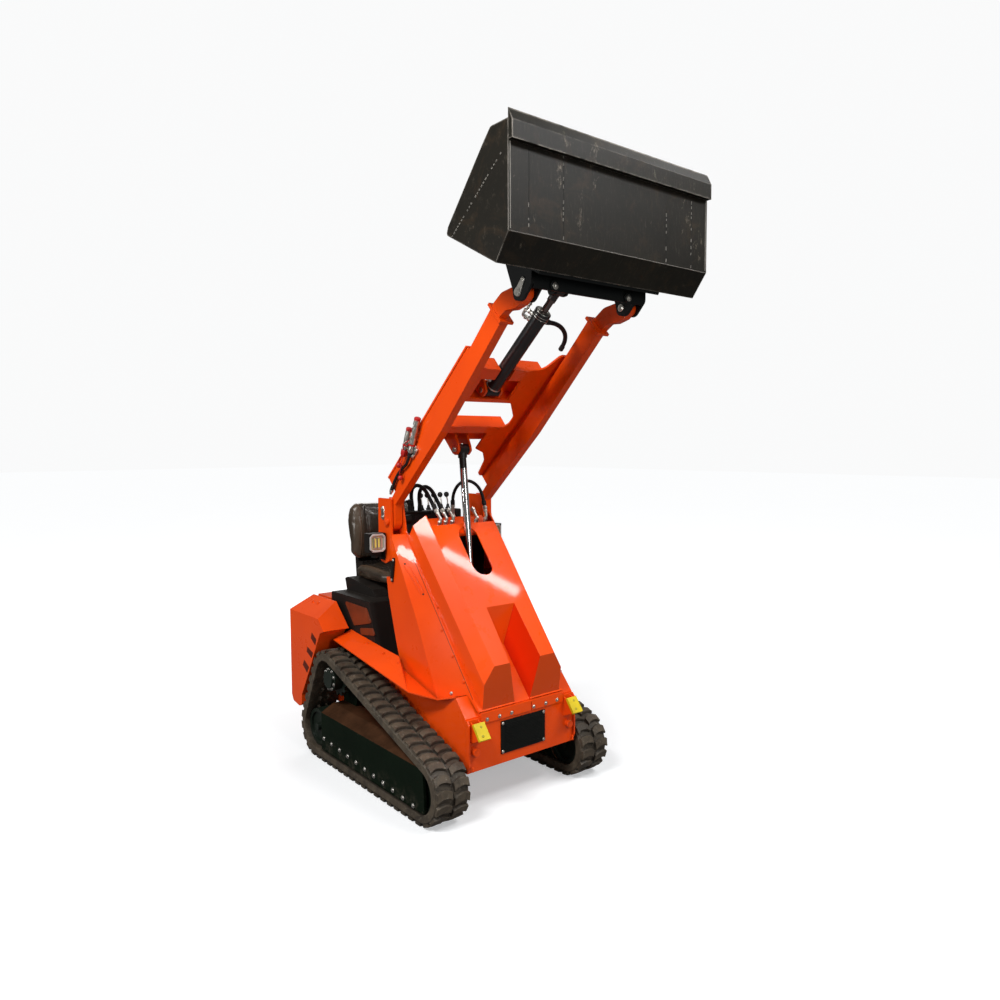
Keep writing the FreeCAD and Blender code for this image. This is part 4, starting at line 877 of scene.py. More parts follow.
# ------------------------------------------------------------------------------------------- surface finder
from mathutils.bvhtree import BVHTree
_trees = {}


def on(node, p, d):
    """First point of a CAD node's surface met from p (design mm) along d, with its normal."""
    if node not in _trees:
        me = nodes[node].data
        _trees[node] = BVHTree.FromPolygons([v.co.copy() for v in me.vertices], [tuple(q.vertices) for q in me.polygons])
    loc, nrm, _, _ = _trees[node].ray_cast(D(*p), Vector(d).normalized())
    if loc is None:
        return None, None
    if nrm.dot(Vector(d)) > 0:
        nrm = -nrm
    return loc, nrm


def mm(x):
    return x / 1000.0


def hexnut(b, c, axis, r, h, seg=6, hole=0.0):
    lathe(b, Vector(c) - Vector(axis).normalized() * (h / 2), axis, [(0, r * 0.92), (h * 0.1, r), (h * 0.9, r), (h, r * 0.92)], seg)


# ------------------------------------------------------------------------------------------- front panel
bz = Batch("front_bolts", "chassis", "zinc_steel")
for x in (-218, -146, -74, 62, 139, 213):
    bolt(bz, D(x, -629, 444), -Y, 0.0062, 0.0055)
for x in (-126, 126):
    for z in (271, 404):
        dome(bz, D(x, -628, z), -Y, 0.0085, 0.0055)
bz.done()
# perforated sheet let into the grille plate: rows of raised slats
bg_ = Batch("grille_slats", "chassis", "grille_black")
for k in range(17):
    z = 280 + k * 7.2
    slab(bg_, D(0, -628.6, z), X, Z, -Y, 0.112, 0.0021, 0.0011, 0.0006)
bg_.done()
# pads: bolt heads
bp_ = Batch("pad_bolts", "chassis", "pad_bolt")
U2, W2 = (-0.6143, -0.7891), (-0.7891, 0.6143)
for sx in (-1, 1):
    for t, dx in ((-21, 3), (21, -6)):
        c = D(sx * 285.5 + dx, -680.5 + U2[0] * t - W2[0], 419 + U2[1] * t - W2[1])
        lathe(bp_, c, (0, W2[0], W2[1]), [(-0.001, 0.0062), (0.0012, 0.0062), (0.0018, 0.005)], 14)
bp_.done()
bo = Batch("front_orange_details", "chassis", "orange_paint")
for sx in (-1, 1):
    # a short round stub beside each tie-down boss
    for x in (sx * 309,):
        lathe(bo, D(x, -640, 226), Z, [(0, 0.004), (0.02, 0.004), (0.022, 0.002)], 10)
    # hooked nose on the boss
    a = D(sx * 288, -645, 310)
    lathe(bo, a, -Y, [(-0.010, 0.0185), (-0.002, 0.0185), (0.0, 0.0165), (0.0005, 0.0085)], 24)
bo.done()

# ------------------------------------------------------------------------------------------- hood
# the joint between top and side sheets, bolts beside it, and the slotted rib
seam = Batch("hood_seams", "chassis", "dark_gap")
hb = Batch("hood_bolts", "chassis", "bolt_steel")
hp_ = Batch("hood_painted_bolts", "chassis", "orange_paint")
for sx in (-1, 1):
    pts = []
    for k in range(41):
        t = 0.02 + 0.93 * k / 40
        y, z = -114 + (-622 + 114) * t, 1117 + (482 - 1117) * t
        loc, nrm = on("hood", (sx * 700, y + 26 * 0.78, z + 26 * 0.62), X * -sx)
        if loc is not None:
            pts.append(loc + nrm * 0.0001)
    if len(pts) > 3:
        tube(seam, pts, 0.0011, 6)
    for y, z in ((-287, 908), (-342, 809), (-428, 701), (-512, 598)):
        loc, nrm = on("hood", (sx * 700, y, z), X * -sx)
        if loc is not None:
            bolt(hp_, loc, nrm, 0.0058, 0.005)
    for y, z in ((-452, 535), (-560, 512)):
        loc, nrm = on("hood", (sx * 700, y, z), X * -sx)
        if loc is not None:
            bolt(hb, loc, nrm, 0.0058, 0.005)
    # embossed rib, two parallel beads with a slot between
    for off in (-7, 7):
        pts = []
        for k in range(15):
            t = k / 14.0
            y, z = -80 + (-205 + 80) * t, 1098 + (962 - 1098) * t
            loc, nrm = on("hood", (sx * 700, y - off * 0.70, z + off * 0.70), X * -sx)
            if loc is not None:
                pts.append(loc + nrm * 0.0005)
        if len(pts) > 3:
            tube(hp_, pts, [0.0012] + [0.0026] * (len(pts) - 2) + [0.0012], 8)
    for t in (0.0, 1.0):
        y, z = -80 + (-205 + 80) * t, 1098 + (962 - 1098) * t
        loc, nrm = on("hood", (sx * 700, y, z), X * -sx)
        if loc is not None:
            dome(seam, loc, nrm, 0.005, 0.0012)
seam.done()
hb.done()
hp_.done()


# ------------------------------------------------------------------------------------------- hydraulic fittings
zf = Batch("fitting_nuts", "chassis", "zinc_steel")
ELBOWS = [((-132, -104, 1362), (-116, -128, 1312)), ((-95, -104, 1362), (-79, -128, 1312)), ((-54, -104, 1362), (-38, -128, 1312)),
          ((96, -104, 1360), (114, -128, 1306)), ((170, -118, 1366), (174, -128, 1312))]
for a, b in ELBOWS:
    va, vb = D(*a), D(*b)
    vc = D(b[0] - 12, -118, 1262)
    ax = (va - vb).normalized()
    hexnut(zf, va - ax * 0.012, ax, 0.0125, 0.014)
    lathe(zf, va - ax * 0.034, ax, [(0, 0.0095), (0.002, 0.0105), (0.011, 0.0105), (0.013, 0.0095)], 16)
    ax2 = (vb - vc).normalized()
    hexnut(zf, vb - ax2 * 0.018, ax2, 0.012, 0.012)
    hexnut(zf, D(b[0] - 12, -118, 1240), Z, 0.0140, 0.012)
    hexnut(zf, D(b[0] - 12, -118, 1254), Z, 0.0125, 0.008)
hexnut(zf, D(20, -42, 1367), Z, 0.0125, 0.012)
zf.done()
# crimped ferrules on the ends of the hoses
fe = Batch("hose_ferrules", "chassis", "console_black")
for pts in (HOSE_ARCH, HOSE_LOOP_A, HOSE_LOOP_B):
    for p, q in ((pts[0], pts[1]), (pts[-1], pts[-2])):
        a = D(*p)
        ax = (D(*q) - a).normalized()
        lathe(fe, a + ax * 0.001, ax, [(0, 0.0105), (0.002, 0.0116), (0.006, 0.0116), (0.007, 0.0110), (0.009, 0.0116), (0.014, 0.0116), (0.015, 0.0110), (0.017, 0.0116), (0.022, 0.0114), (0.024, 0.0101)], 20)
fe.done()
# plain ports on the console top
pc = Batch("console_ports", "chassis", "console_black")
for x, y in ((-137, 102), (-101, 86)):
    hexnut(pc, D(x, y, 1343), Z, 0.0135, 0.008)
for x in (-60, -18, 24, 66, 108):
    # control valves: spool covers with lever stubs and boots
    lathe(pc, D(x, 128, 1340), Z, [(0, 0.014), (0.004, 0.014), (0.010, 0.010), (0.020, 0.0075), (0.026, 0.006)], 18)
pc.done()
kn = Batch("valve_levers", "chassis", "zinc_steel")
kb = Batch("valve_knobs", "chassis", "console_black")
for k, x in enumerate((-60, -18, 24, 66, 108)):
    tube(kn, smooth_path([D(x, 128, 1362), D(x, 132, 1385), D(x + 2, 140, 1404)], 5), 0.0038, 10)
    lathe(kb, D(x + 2, 139, 1402), (0.05, 0.35, 0.93), [(0, 0.006), (0.004, 0.011), (0.012, 0.0145), (0.020, 0.0135), (0.026, 0.009), (0.029, 0.003)], 18)
kn.done()
kb.done()
# star knob on the grab bar and end rings
kb = Batch("star_knob", "chassis", "console_black")
for k in range(5):
    a = 2 * math.pi * k / 5
    lathe(kb, D(-205 + 13 * math.cos(a), 24 + 13 * math.sin(a), 1389), Z, [(0, 0.005), (0.002, 0.0065), (0.012, 0.0065), (0.014, 0.005)], 12)
for t in (0.08, 0.92):
    c = D(-245, 24, 1342).lerp(D(-66, 24, 1332), t)
    lathe(kb, c, D(-66, 24, 1332) - D(-245, 24, 1342), [(-0.006, 0.0105), (-0.004, 0.0115), (0.004, 0.0115), (0.006, 0.0105)], 16)
kb.done()
zk = Batch("bar_end_nuts", "chassis", "zinc_steel")
hexnut(zk, D(-205, 24, 1406), Z, 0.0065, 0.005)
zk.done()

# ------------------------------------------------------------------------------------------- towers
tk = Batch("tower_keepers", "chassis", "zinc_steel")
for sx in (-1, 1):
    # slotted keeper plate with rounded ends, its bolts, and the pivot pin's head
    out = []
    for k in range(9):
        a = math.pi * k / 8
        out.append(D(sx * 319, 91 + 13.5 * math.cos(a), 1364 + 13.5 * math.sin(a)))
    for k in range(9):
        a = math.pi + math.pi * k / 8
        out.append(D(sx * 319, 91 + 13.5 * math.cos(a), 1319 + 13.5 * math.sin(a)))
    plate(tk, out if sx > 0 else out[::-1], X * sx, 0.004)
    bolt(tk, D(sx * 323, 91, 1363), X * sx, 0.0078, 0.006)
    bolt(tk, D(sx * 323, 91, 1320), X * sx, 0.0062, 0.005)
tk.done()
tpn = Batch("pivot_pin_heads", "lift_arm", "orange_paint")
for sx in (-1, 1):
    lathe(tpn, D(sx * 330, 45, 1300), X * sx, [(-0.0005, 0.0195), (0.0015, 0.0195), (0.0025, 0.0180)], 28)
    dome(tpn, D(sx * 332, 45, 1300), X * sx, 0.0045, 0.0035)
tpn.done()

# ------------------------------------------------------------------------------------------- work lights
LX, LY, LZ = -372.0, 79.0, 1195.0
wl = Batch("light_rings", "chassis", "light_ring")
wb = Batch("light_bodies", "chassis", "black_plastic")
wd = Batch("light_emitters", "chassis", "light_dot")
wr_ = Batch("light_reflectors", "chassis", "bolt_steel")
for sx in (-1, 1):
    cx = sx * 375.0
    # octagonal raised ring in front of the housing
    def octo(h, w, c, y):
        q = [(-w, -h + c), (-w + c, -h), (w - c, -h), (w, -h + c), (w, h - c), (w - c, h), (-w + c, h), (-w, h - c)]
        return [D(cx + a, y, LZ + b) for a, b in q]
    r0, r1, r2, r3 = octo(46, 45, 15, LY - 26), octo(44.5, 43.5, 14.5, LY - 30), octo(38, 37, 12, LY - 30), octo(36, 35, 11, LY - 24)
    V0 = r0 + r1 + r2 + r3
    F0 = []
    for a in range(3):
        for k in range(8):
            j = (k + 1) % 8
            F0.append((a * 8 + k, a * 8 + j, a * 8 + 8 + j, a * 8 + 8 + k))
    wl.add(V0, F0)
    # two lit strips between polished reflector walls
    for i in (-1, 1):
        slab(wd, D(cx + 9.5 * i, LY - 21.5, LZ), X, Z, -Y, 0.0048, 0.0225, 0.0018, 0.0008)
    for i in (-2.05, -1, 0, 1, 2.05):
        slab(wr_, D(cx + 9.5 * i + (0 if i in (-2.05, 0, 2.05) else 8.2 * (1 if i > 0 else -1)), LY - 22.5, LZ), X, Z, -Y, 0.0014, 0.026, 0.0032, 0.0006)
    for j in (-1, 1):
        slab(wr_, D(cx, LY - 22.5, LZ + 27 * j), X, Z, -Y, 0.024, 0.0016, 0.0032, 0.0006)
    # cooling fins on the back
    for k in range(7):
        slab(wb, D(cx, LY + 30, LZ - 36 + 12 * k), X, Z, Y, 0.040, 0.0018, 0.0075, 0.0006)
    for a, b in ((-38, -36), (38, -36), (-38, 36), (38, 36)):
        dome(wr_, D(cx + a * 0.95, LY - 30, LZ + b * 0.98), -Y, 0.0035, 0.002)
wl.done(); wb.done(); wd.done(); wr_.done()

# latch bars: light bolts at both ends
lb_ = Batch("latch_bolts", "chassis", "zinc_steel")
for sx in (-1, 1):
    for y, z in ((5, 1011), (-11, 1111)):
        loc, nrm = on("side_latch_bars", (sx * 700, y, z), X * -sx)
        if loc is not None:
            dome(lb_, loc, X * sx, 0.0075, 0.0045)
lb_.done()

# ------------------------------------------------------------------------------------------- fenders
# the louvers are thin dark plates on the fender side: painted shade for the louver openings
lv = Batch("fender_louvers", "chassis", "louver_paint")
for sx in (-1, 1):
    for q in (((526, 677), (541, 644), (488, 612), (474, 647)), ((584, 588), (595, 559), (537, 533), (516, 566)), ((628, 506), (648, 474), (595, 439), (569, 476))):
        plate(lv, [D(sx * 515, a, b) for a, b in (q if sx > 0 else q[::-1])], X * sx, 0.0006, 0.0006)
lv.done()
fb = Batch("fender_bolts", "chassis", "orange_paint")
for sx in (-1, 1):
    for y, z in ((640, 800), (700, 800)):
        loc, nrm = on("rear_fenders", (sx * 420, y, z + 400), -Z)
        if loc is not None:
            bolt(fb, loc, nrm, 0.007, 0.005)
    for y, z in ((-107, 545), (40, 585), (200, 632)):
        loc, nrm = on("track_wings", (sx * 360, y, 1000), -Z)
        if loc is not None:
            bolt(fb, loc, nrm, 0.006, 0.0045)
fb.done()

# ------------------------------------------------------------------------------------------- rear cover
rc = Batch("rear_vents", "chassis", "dark_gap")
rp = Batch("rear_panel_frame", "chassis", "orange_paint")
rbb = Batch("rear_bolts", "chassis", "zinc_steel")
ry = 800.0
loc, nrm = on("rear_cover", (0, 1200, 500), -Y)
if loc is not None:
    ry = loc.y * 1000 - YS
    for k in range(9):
        z = 420 + k * 17
        # each vent opening is a thin dark strip: painted shade, with an orange slat above it
        slab(rc, D(0, ry + 0.2, z), X, Z, Y, 0.16, 0.0042, 0.0004, 0.0002)
        slab(rp, D(0, ry + 3, z + 6.2), X, Vector((0, 0.5, 0.86)), Vector((0, 0.86, -0.5)), 0.16, 0.0058, 0.0012, 0.0005)
    for x in (-235, 235):
        for z in (330, 470, 610):
            bolt(rbb, D(x, ry, z), Y, 0.008, 0.0055)
    # grab handle of the rear door
    tube(rp, smooth_path([D(-70, ry, 640), D(-70, ry + 26, 642), D(-50, ry + 32, 643), D(50, ry + 32, 643), D(70, ry + 26, 642), D(70, ry, 640)], 6), 0.0065, 12)
rc.done(); rp.done(); rbb.done()

# ------------------------------------------------------------------------------------------- arms
wa = Batch("arm_welds", "lift_arm", "orange_paint")
for sx in (-1, 1):
    for s0, s1 in ((-230, -60), (20, 130), (330, 500)):
        bead(wa, arm(sx * 290, s0, 137.5), arm(sx * 290, s1, 137.5), 0.003)
    bead(wa, arm(sx * 304.5, 866, 52), arm(sx * 304.5, 866, 120), 0.003)
    bead(wa, arm(sx * 261.5, 866, 52), arm(sx * 261.5, 866, 120), 0.003)
for x in (-41, -29.5, 29.5, 41):
    bead(wa, arm(x, -10, 206), arm(x, 60, 206), 0.0026)
wa.done()
za = Batch("arm_pin_keepers", "lift_arm", "zinc_steel")
# ends of the lift pin and of the tilt base pin
for sx in (-1, 1):
    lathe(za, D(sx * 43, -155, 1660), X * sx, [(-0.0005, 0.0138), (0.006, 0.0138), (0.008, 0.0120)], 24)
    lathe(za, D(sx * 60, -390, 1942), X * sx, [(-0.0005, 0.0135), (0.003, 0.0135), (0.0045, 0.0118)], 24)
    dome(za, D(sx * 51, -155, 1660), X * sx, 0.004, 0.003)
za.done()
# couplers: collars, hose ends, red dust caps on a strap
zc = Batch("coupler_rings", "lift_arm", "zinc_steel")
rc_ = Batch("coupler_caps", "lift_arm", "red_cap")
def along(a, b, t):
    va, vb = D(-322, *a), D(-322, *b)
    return va.lerp(vb, t)
for a, b, r in (((-175, 1648), (-240, 1798), 0.0145), ((-128, 1663), (-166, 1752), 0.0130)):
    ax = (D(-322, *b) - D(-322, *a)).normalized()
    for t in (0.10, 0.15, 0.36, 0.40, 0.44, 0.70, 0.75, 0.90):
        lathe(zc, along(a, b, t), ax, [(-0.0018, r), (-0.001, r + 0.0016), (0.001, r + 0.0016), (0.0018, r)], 24)
    lathe(rc_, along(a, b, 0.24), ax, [(-0.004, r + 0.001), (-0.003, r + 0.0026), (0.003, r + 0.0026), (0.004, r + 0.001)], 24)
    lathe(rc_, D(-322, *b), ax, [(-0.001, r), (0.004, r + 0.002), (0.012, r + 0.002), (0.016, r - 0.003)], 20)
ax = (D(-322, -128, 1663) - D(-322, -166, 1752)).normalized()
hexnut(rc_, D(-322, -128, 1663) + ax * 0.015, ax, 0.0185, 0.026, 6)
lathe(rc_, D(-322, -128, 1663) + ax * 0.028, ax, [(0, 0.015), (0.006, 0.013), (0.008, 0.006)], 20)
for y, z, r in ((-72, 1586, 0.0140), (-84, 1524, 0.0125)):
    c = D(-322, y, z)
    lathe(rc_, c - Z * r, Z, [(0, 0.004), (r * 0.3, r * 0.72), (r * 0.8, r * 0.98), (r * 1.2, r * 0.98), (r * 1.7, r * 0.72), (r * 2.0, 0.004)], 20)
tube(rc_, smooth_path([D(-322, -118, 1640), D(-327, -96, 1625), D(-328, -78, 1604), D(-326, -72, 1590)], 6), 0.0022, 8)
tube(rc_, smooth_path([D(-322, -118, 1638), D(-332, -112, 1600), D(-333, -98, 1556), D(-327, -86, 1534)], 6), 0.0022, 8)
tube(rc_, smooth_path([D(-322, -200, 1712), D(-341, -180, 1700), D(-343, -150, 1680), D(-330, -130, 1662)], 6), 0.0022, 8)
zc.done(); rc_.done()
cb = Batch("coupler_bracket_bolts", "lift_arm", "bolt_steel")
for s_, n_ in ((6, 64), (46, 64)):
    bolt(cb, arm(-314, s_, n_), -X, 0.006, 0.005)
cb.done()
fa = Batch("arm_hose_ferrules", "lift_arm", "console_black")
for p, q in ((HOSE_ARM[0], HOSE_ARM[1]), (HOSE_ARM[-1], HOSE_ARM[-2])):
    a = D(*p)
    ax = (D(*q) - a).normalized()
    lathe(fa, a + ax * 0.001, ax, [(0, 0.0090), (0.002, 0.0102), (0.009, 0.0102), (0.010, 0.0096), (0.012, 0.0102), (0.020, 0.0100), (0.022, 0.0085)], 20)
fa.done()
zh = Batch("arm_hose_clip", "lift_arm", "zinc_steel")
a = D(*HOSE_ARM[-1])
ax = (a - D(*HOSE_ARM[-2])).normalized()
hexnut(zh, a + ax * 0.006, ax, 0.0115, 0.012)
lathe(zh, a + ax * 0.012, ax, [(0, 0.007), (0.010, 0.007), (0.014, 0.0055)], 16)
zh.done()

# ------------------------------------------------------------------------------------------- cylinders
UTv = Vector((0, (-862.0 + 390.0) / 620.639, (2345.0 - 1942.0) / 620.639))
UTn = X.cross(UTv).normalized()
tbp = D(0, -390, 1942)
tg = Batch("tilt_gland", "tilt_barrel", "zinc_steel")
lathe(tg, tbp + UTv * 0.4965, UTv, [(0, 0.034), (0.003, 0.0335), (0.006, 0.026), (0.007, 0.0185)], 32)
for t in (0.472, 0.484):
    lathe(tg, tbp + UTv * t, UTv, [(-0.0016, 0.0388), (-0.001, 0.0398), (0.001, 0.0398), (0.0016, 0.0388)], 36)
lathe(tg, tbp + UTv * 0.030, UTv, [(-0.004, 0.0350), (-0.003, 0.0368), (0.003, 0.0368), (0.004, 0.0350)], 32)
tg.done()
tz = Batch("tilt_fittings", "tilt_barrel", "zinc_steel")
c = tbp + UTv * 0.444
lathe(tz, c + X * 0.0335, X, [(0, 0.0135), (0.009, 0.0135), (0.010, 0.0125), (0.0165, 0.0125)], 6)
for t, side in ((0.452, -0.4), (0.435, -1.0)):
    d_ = (UTn * math.cos(side) * -1 + X * math.sin(side)).normalized()
    o_ = tbp + UTv * t
    lathe(tz, o_ + d_ * 0.033, d_, [(0, 0.0115), (0.010, 0.0115), (0.011, 0.0085), (0.018, 0.0085)], 6)
    hexnut(tz, o_ + d_ * 0.056 , d_, 0.0105, 0.012)
    tube(tz, smooth_path([o_ + d_ * 0.060, o_ + d_ * 0.070 + UTv * 0.004, o_ + d_ * 0.073 + UTv * 0.014, o_ + d_ * 0.073 + UTv * 0.026], 5), 0.0068, 12)
    hexnut(tz, o_ + d_ * 0.073 + UTv * 0.030, UTv, 0.0098, 0.009)
d_ = (-UTn * 0.3 - X).normalized()
o_ = tbp + UTv * 0.062
lathe(tz, o_ + d_ * 0.033, d_, [(0, 0.0125), (0.012, 0.0125), (0.013, 0.009), (0.020, 0.009)], 6)
tz.done()
ft = Batch("tilt_hose_ferrules", "tilt_barrel", "console_black")
for p, q in ((HOSE_TILT[0], HOSE_TILT[1]), (HOSE_TILT[-1], HOSE_TILT[-2])):
    a = D(*p)
    ax = (D(*q) - a).normalized()
    lathe(ft, a + ax * 0.001, ax, [(0, 0.0112), (0.002, 0.0124), (0.009, 0.0124), (0.010, 0.0118), (0.012, 0.0124), (0.022, 0.0122), (0.024, 0.0106)], 20)
ft.done()
tr_ = Batch("tilt_rod_eye", "tilt_rod", "zinc_steel")
lathe(tr_, D(22, -862, 2345), X, [(-0.001, 0.0185), (0.0012, 0.0185), (0.0015, 0.0142), (-0.0005, 0.0140)], 28)
lathe(tr_, D(-22, -862, 2345), -X, [(-0.001, 0.0185), (0.0012, 0.0185), (0.0015, 0.0142), (-0.0005, 0.0140)], 28)
tr_.done()
LBv = (D(0, -155, 1660) - D(0, -297, 300)).normalized()
lr_ = Batch("lift_rod_eye", "lift_rod", "zinc_steel")
lathe(lr_, D(0, -155, 1660) - LBv * 0.0 + Z * 0.0265, LBv, [(-0.001, 0.0065), (0.004, 0.0065), (0.005, 0.004)], 8)
lr_.done()

# ------------------------------------------------------------------------------------------- bucket and hitch
bs = Batch("bucket_welds", "bucket", "weld_steel")
def bfront(x, z):
    return D(x, -1209.0, z)
# seams of the floor plate and its reinforcing strips: interrupted stitch welds
for x in (-470, -299, 291, 456):
    z = 2440.0
    while z < 2735:
        ln = random.uniform(7, 16)
        if random.random() < {-470: 0.30, -299: 0.68, 291: 0.34, 456: 0.45}[x]:
            bead(bs, bfront(x + random.uniform(-0.8, 0.8), z), bfront(x + random.uniform(-0.8, 0.8), z + ln), 0.0021)
        z += ln + random.uniform(6, 18)
for sx in (-1, 1):
    # stitches along the inner floor's line on each side plate
    n = 26
    for k in range(n):
        if random.random() < 0.2:
            continue
        t = (k + 0.15) / n
        t2 = t + random.uniform(0.35, 0.6) / n
        p = D(sx * 564.4, -870 + (-1190 + 870) * t, 2474 + (2719 - 2474) * t)
        q = D(sx * 564.4, -870 + (-1190 + 870) * t2, 2474 + (2719 - 2474) * t2)
        bead(bs, p, q, 0.0034)
    # corner weld between the side and the floor
    bead(bs, D(sx * 555, -1209.6, 2440), D(sx * 555, -1209.6, 2738), 0.0024)
bs.done()
bw = Batch("bucket_worn_edges", "bucket", "worn_steel")
tube(bw, [D(-553, -1208.6, 2431.5), D(-200, -1208.6, 2431.5), D(200, -1208.6, 2431.5), D(553, -1208.6, 2431.5)], 0.0016, 6)
for sx in (-1, 1):
    tube(bw, [D(sx * 563.6, -1208.6, 2432), D(sx * 563.6, -1208.6, 2600), D(sx * 563.6, -1208.6, 2740)], 0.0014, 6)
bw.done()
# thin seam lines on the floor
bl = Batch("bucket_seams", "bucket", "dark_gap")
for x in (-470, -299, 291, 456):
    slab(bl, D(x + 2.6, -1209.1, 2586), X, Z, -Y, 0.0011, 0.150, 0.0003, 0.0001)
bl.done()
hz = Batch("hitch_bolts", "bucket", "zinc_steel")
hk = Batch("hitch_bosses", "bucket", "hitch_black")
for sx in (-1, 1):
    lathe(hk, D(sx * 213, -1066, 2306), -Y, [(-0.001, 0.024), (0.006, 0.024), (0.0085, 0.021)], 28)
    bolt(hz, D(sx * 213, -1074.5, 2303), -Y, 0.0095, 0.0065)
    # teardrop keeper on the outer ear: plate, pin end and bolt
    x0 = sx * 331
    c0, c1 = (-988.0, 2280.0), (-1017.0, 2324.0)
    dy, dz = c1[0] - c0[0], c1[1] - c0[1]
    base = math.atan2(dz, dy)
    out = []
    for k in range(13):
        a = base + math.radians(100) + math.radians(160) * k / 12
        out.append(D(x0, c0[0] + 19 * math.cos(a), c0[1] + 19 * math.sin(a)))
    for k in range(9):
        a = base + math.radians(-100) + math.radians(200) * k / 8
        out.append(D(x0, c1[0] + 10.5 * math.cos(a), c1[1] + 10.5 * math.sin(a)))
    plate(hz, out if sx < 0 else out[::-1], X * sx, 0.0045)
    lathe(hk, D(x0 + sx * 4.5, *c0), X * sx, [(-0.001, 0.0125), (0.001, 0.0125), (0.0014, 0.0118)], 26)
    lathe(hz, D(x0 + sx * 5, *c0), X * sx, [(-0.001, 0.0085), (0.002, 0.0085), (0.0026, 0.007), (0.0012, 0.004)], 22)
    bolt(hz, D(x0 + sx * 4.5, *c1), X * sx, 0.0055, 0.0045)
    # plain pin end on the inner ear
    lathe(hz, D(sx * 262, *c0), X * -sx, [(-0.0045, 0.0150), (0.0015, 0.0150), (0.0025, 0.0135)], 24)
hz.done(); hk.done()

# ------------------------------------------------------------------------------------------- padded seat
def soft_start(name, outline, half, corner, voxel=0.006, dome_=0.0):
    """Closed start shape of a pad: a design-frame side outline swept over x, its ends drawn in, remeshed even."""
    n = len(outline)
    cy = sum(p[0] for p in outline) / n
    cz = sum(p[1] for p in outline) / n
    xs = [-half, -half + corner * 0.35, -half + corner, -half * 0.5, 0.0, half * 0.5, half - corner, half - corner * 0.35, half]
    ks = [0.80, 0.93, 1.0, 1.0, 1.0, 1.0, 1.0, 0.93, 0.80]
    verts, faces = [], []
    for x, k in zip(xs, ks):
        for y, z in outline:
            verts.append(D(x, cy + (y - cy) * k, cz + (z - cz) * k))
    for i in range(len(xs) - 1):
        for j in range(n):
            l = (j + 1) % n
            faces.append((i * n + j, i * n + l, (i + 1) * n + l, (i + 1) * n + j))
    faces.append(tuple(range(n))[::-1])
    faces.append(tuple(range((len(xs) - 1) * n, len(xs) * n)))
    me = bpy.data.meshes.new(name)
    me.from_pydata([tuple(v) for v in verts], [], faces)
    bm = bmesh.new()
    bm.from_mesh(me)
    bmesh.ops.recalc_face_normals(bm, faces=bm.faces)
    bm.to_mesh(me)
    bm.free()
    o = bpy.data.objects.new(name, me)
    bpy.context.scene.collection.objects.link(o)
    r = o.modifiers.new("remesh", "REMESH")
    r.mode = "VOXEL"
    r.voxel_size = voxel
    settle(o)
    return o


def settle(o):
    """Replace the mesh by its modified form and drop every modifier."""
    dg = bpy.context.evaluated_depsgraph_get()
    me = bpy.data.meshes.new_from_object(o.evaluated_get(dg))
    old = o.data
    o.modifiers.clear()
    o.data = me
    bpy.data.meshes.remove(old)


def puff(o, cap, pin=None, pressure=4.0, frames=20):
    """Inflate by cloth pressure; no point moves by more than cap metres."""
    start = [v.co.copy() for v in o.data.vertices]
    c = o.modifiers.new("cloth", "CLOTH")
    s = c.settings
    s.quality = 5
    s.mass = 0.3
    s.use_pressure = True
    s.uniform_pressure_force = pressure
    s.tension_stiffness = 15
    s.compression_stiffness = 15
    s.shear_stiffness = 5
    s.bending_stiffness = 0.5
    s.effector_weights.gravity = 0.0
    c.collision_settings.use_collision = False
    if pin is not None:
        g = o.vertex_groups.new(name="pin")
        for i, v in enumerate(start):
            w = pin(v)
            if w > 0:
                g.add([i], w, "REPLACE")
        s.vertex_group_mass = "pin"
    c.point_cache.frame_start = 1
    c.point_cache.frame_end = frames
    for f in range(1, frames + 1):
        bpy.context.scene.frame_set(f)
    settle(o)
    bpy.context.scene.frame_set(1)
    for v, p in zip(o.data.vertices, start):
        d = v.co - p
        if d.length > cap:
            v.co = p + d * (cap / d.length)
    o.vertex_groups.clear()
    o.data.update()


def finish_pad(o, node, mat="seat_vinyl"):
    sm = o.modifiers.new("smooth", "SMOOTH")
    sm.factor = 0.5
    sm.iterations = 3
    sb = o.modifiers.new("sub", "SUBSURF")
    sb.levels = 1
    sb.render_levels = 1
    settle(o)
    o.data.materials.clear()
    o.data.materials.append(MAT[mat])
    o.data.shade_smooth()
    body = [b for b, ns in record["behaviour"]["bodies"].items() if node in ns][0]
    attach(o, body)
    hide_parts(node)


def rounded(poly, r=22.0, step=5):
    """Corners of a design-frame outline cut to arcs."""
    out = []
    n = len(poly)
    for i in range(n):
        p, a, b = Vector(poly[i]), Vector(poly[i - 1]), Vector(poly[(i + 1) % n])
        u, w = (a - p), (b - p)
        q = min(r, 0.42 * u.length, 0.42 * w.length)
        s, e = p + u.normalized() * q, p + w.normalized() * q
        for k in range(step + 1):
            t = k / step
            out.append(tuple(s * (1 - t) ** 2 + p * (2 * t * (1 - t)) + e * t * t))
    return out


def shrink(poly, g):
    """Outline drawn in by g all round (convex enough for a pad)."""
    c = sum((Vector(p) for p in poly), Vector((0, 0))) / len(poly)
    out = []
    for p in poly:
        d = Vector(p) - c
        out.append(tuple(c + Vector((d.x * (1 - g / max(abs(d.x), 60.0)) if abs(d.x) > 1 else d.x, d.y * (1 - g / max(abs(d.y), 30.0)) if abs(d.y) > 1 else d.y))))
    return out


CU = [(250, 940), (600, 940), (612, 1000), (560, 1020), (280, 1010), (240, 985)]
BK = [(590, 1022), (660, 1022), (700, 1190), (700, 1300), (660, 1368), (600, 1368), (575, 1290), (560, 1150)]


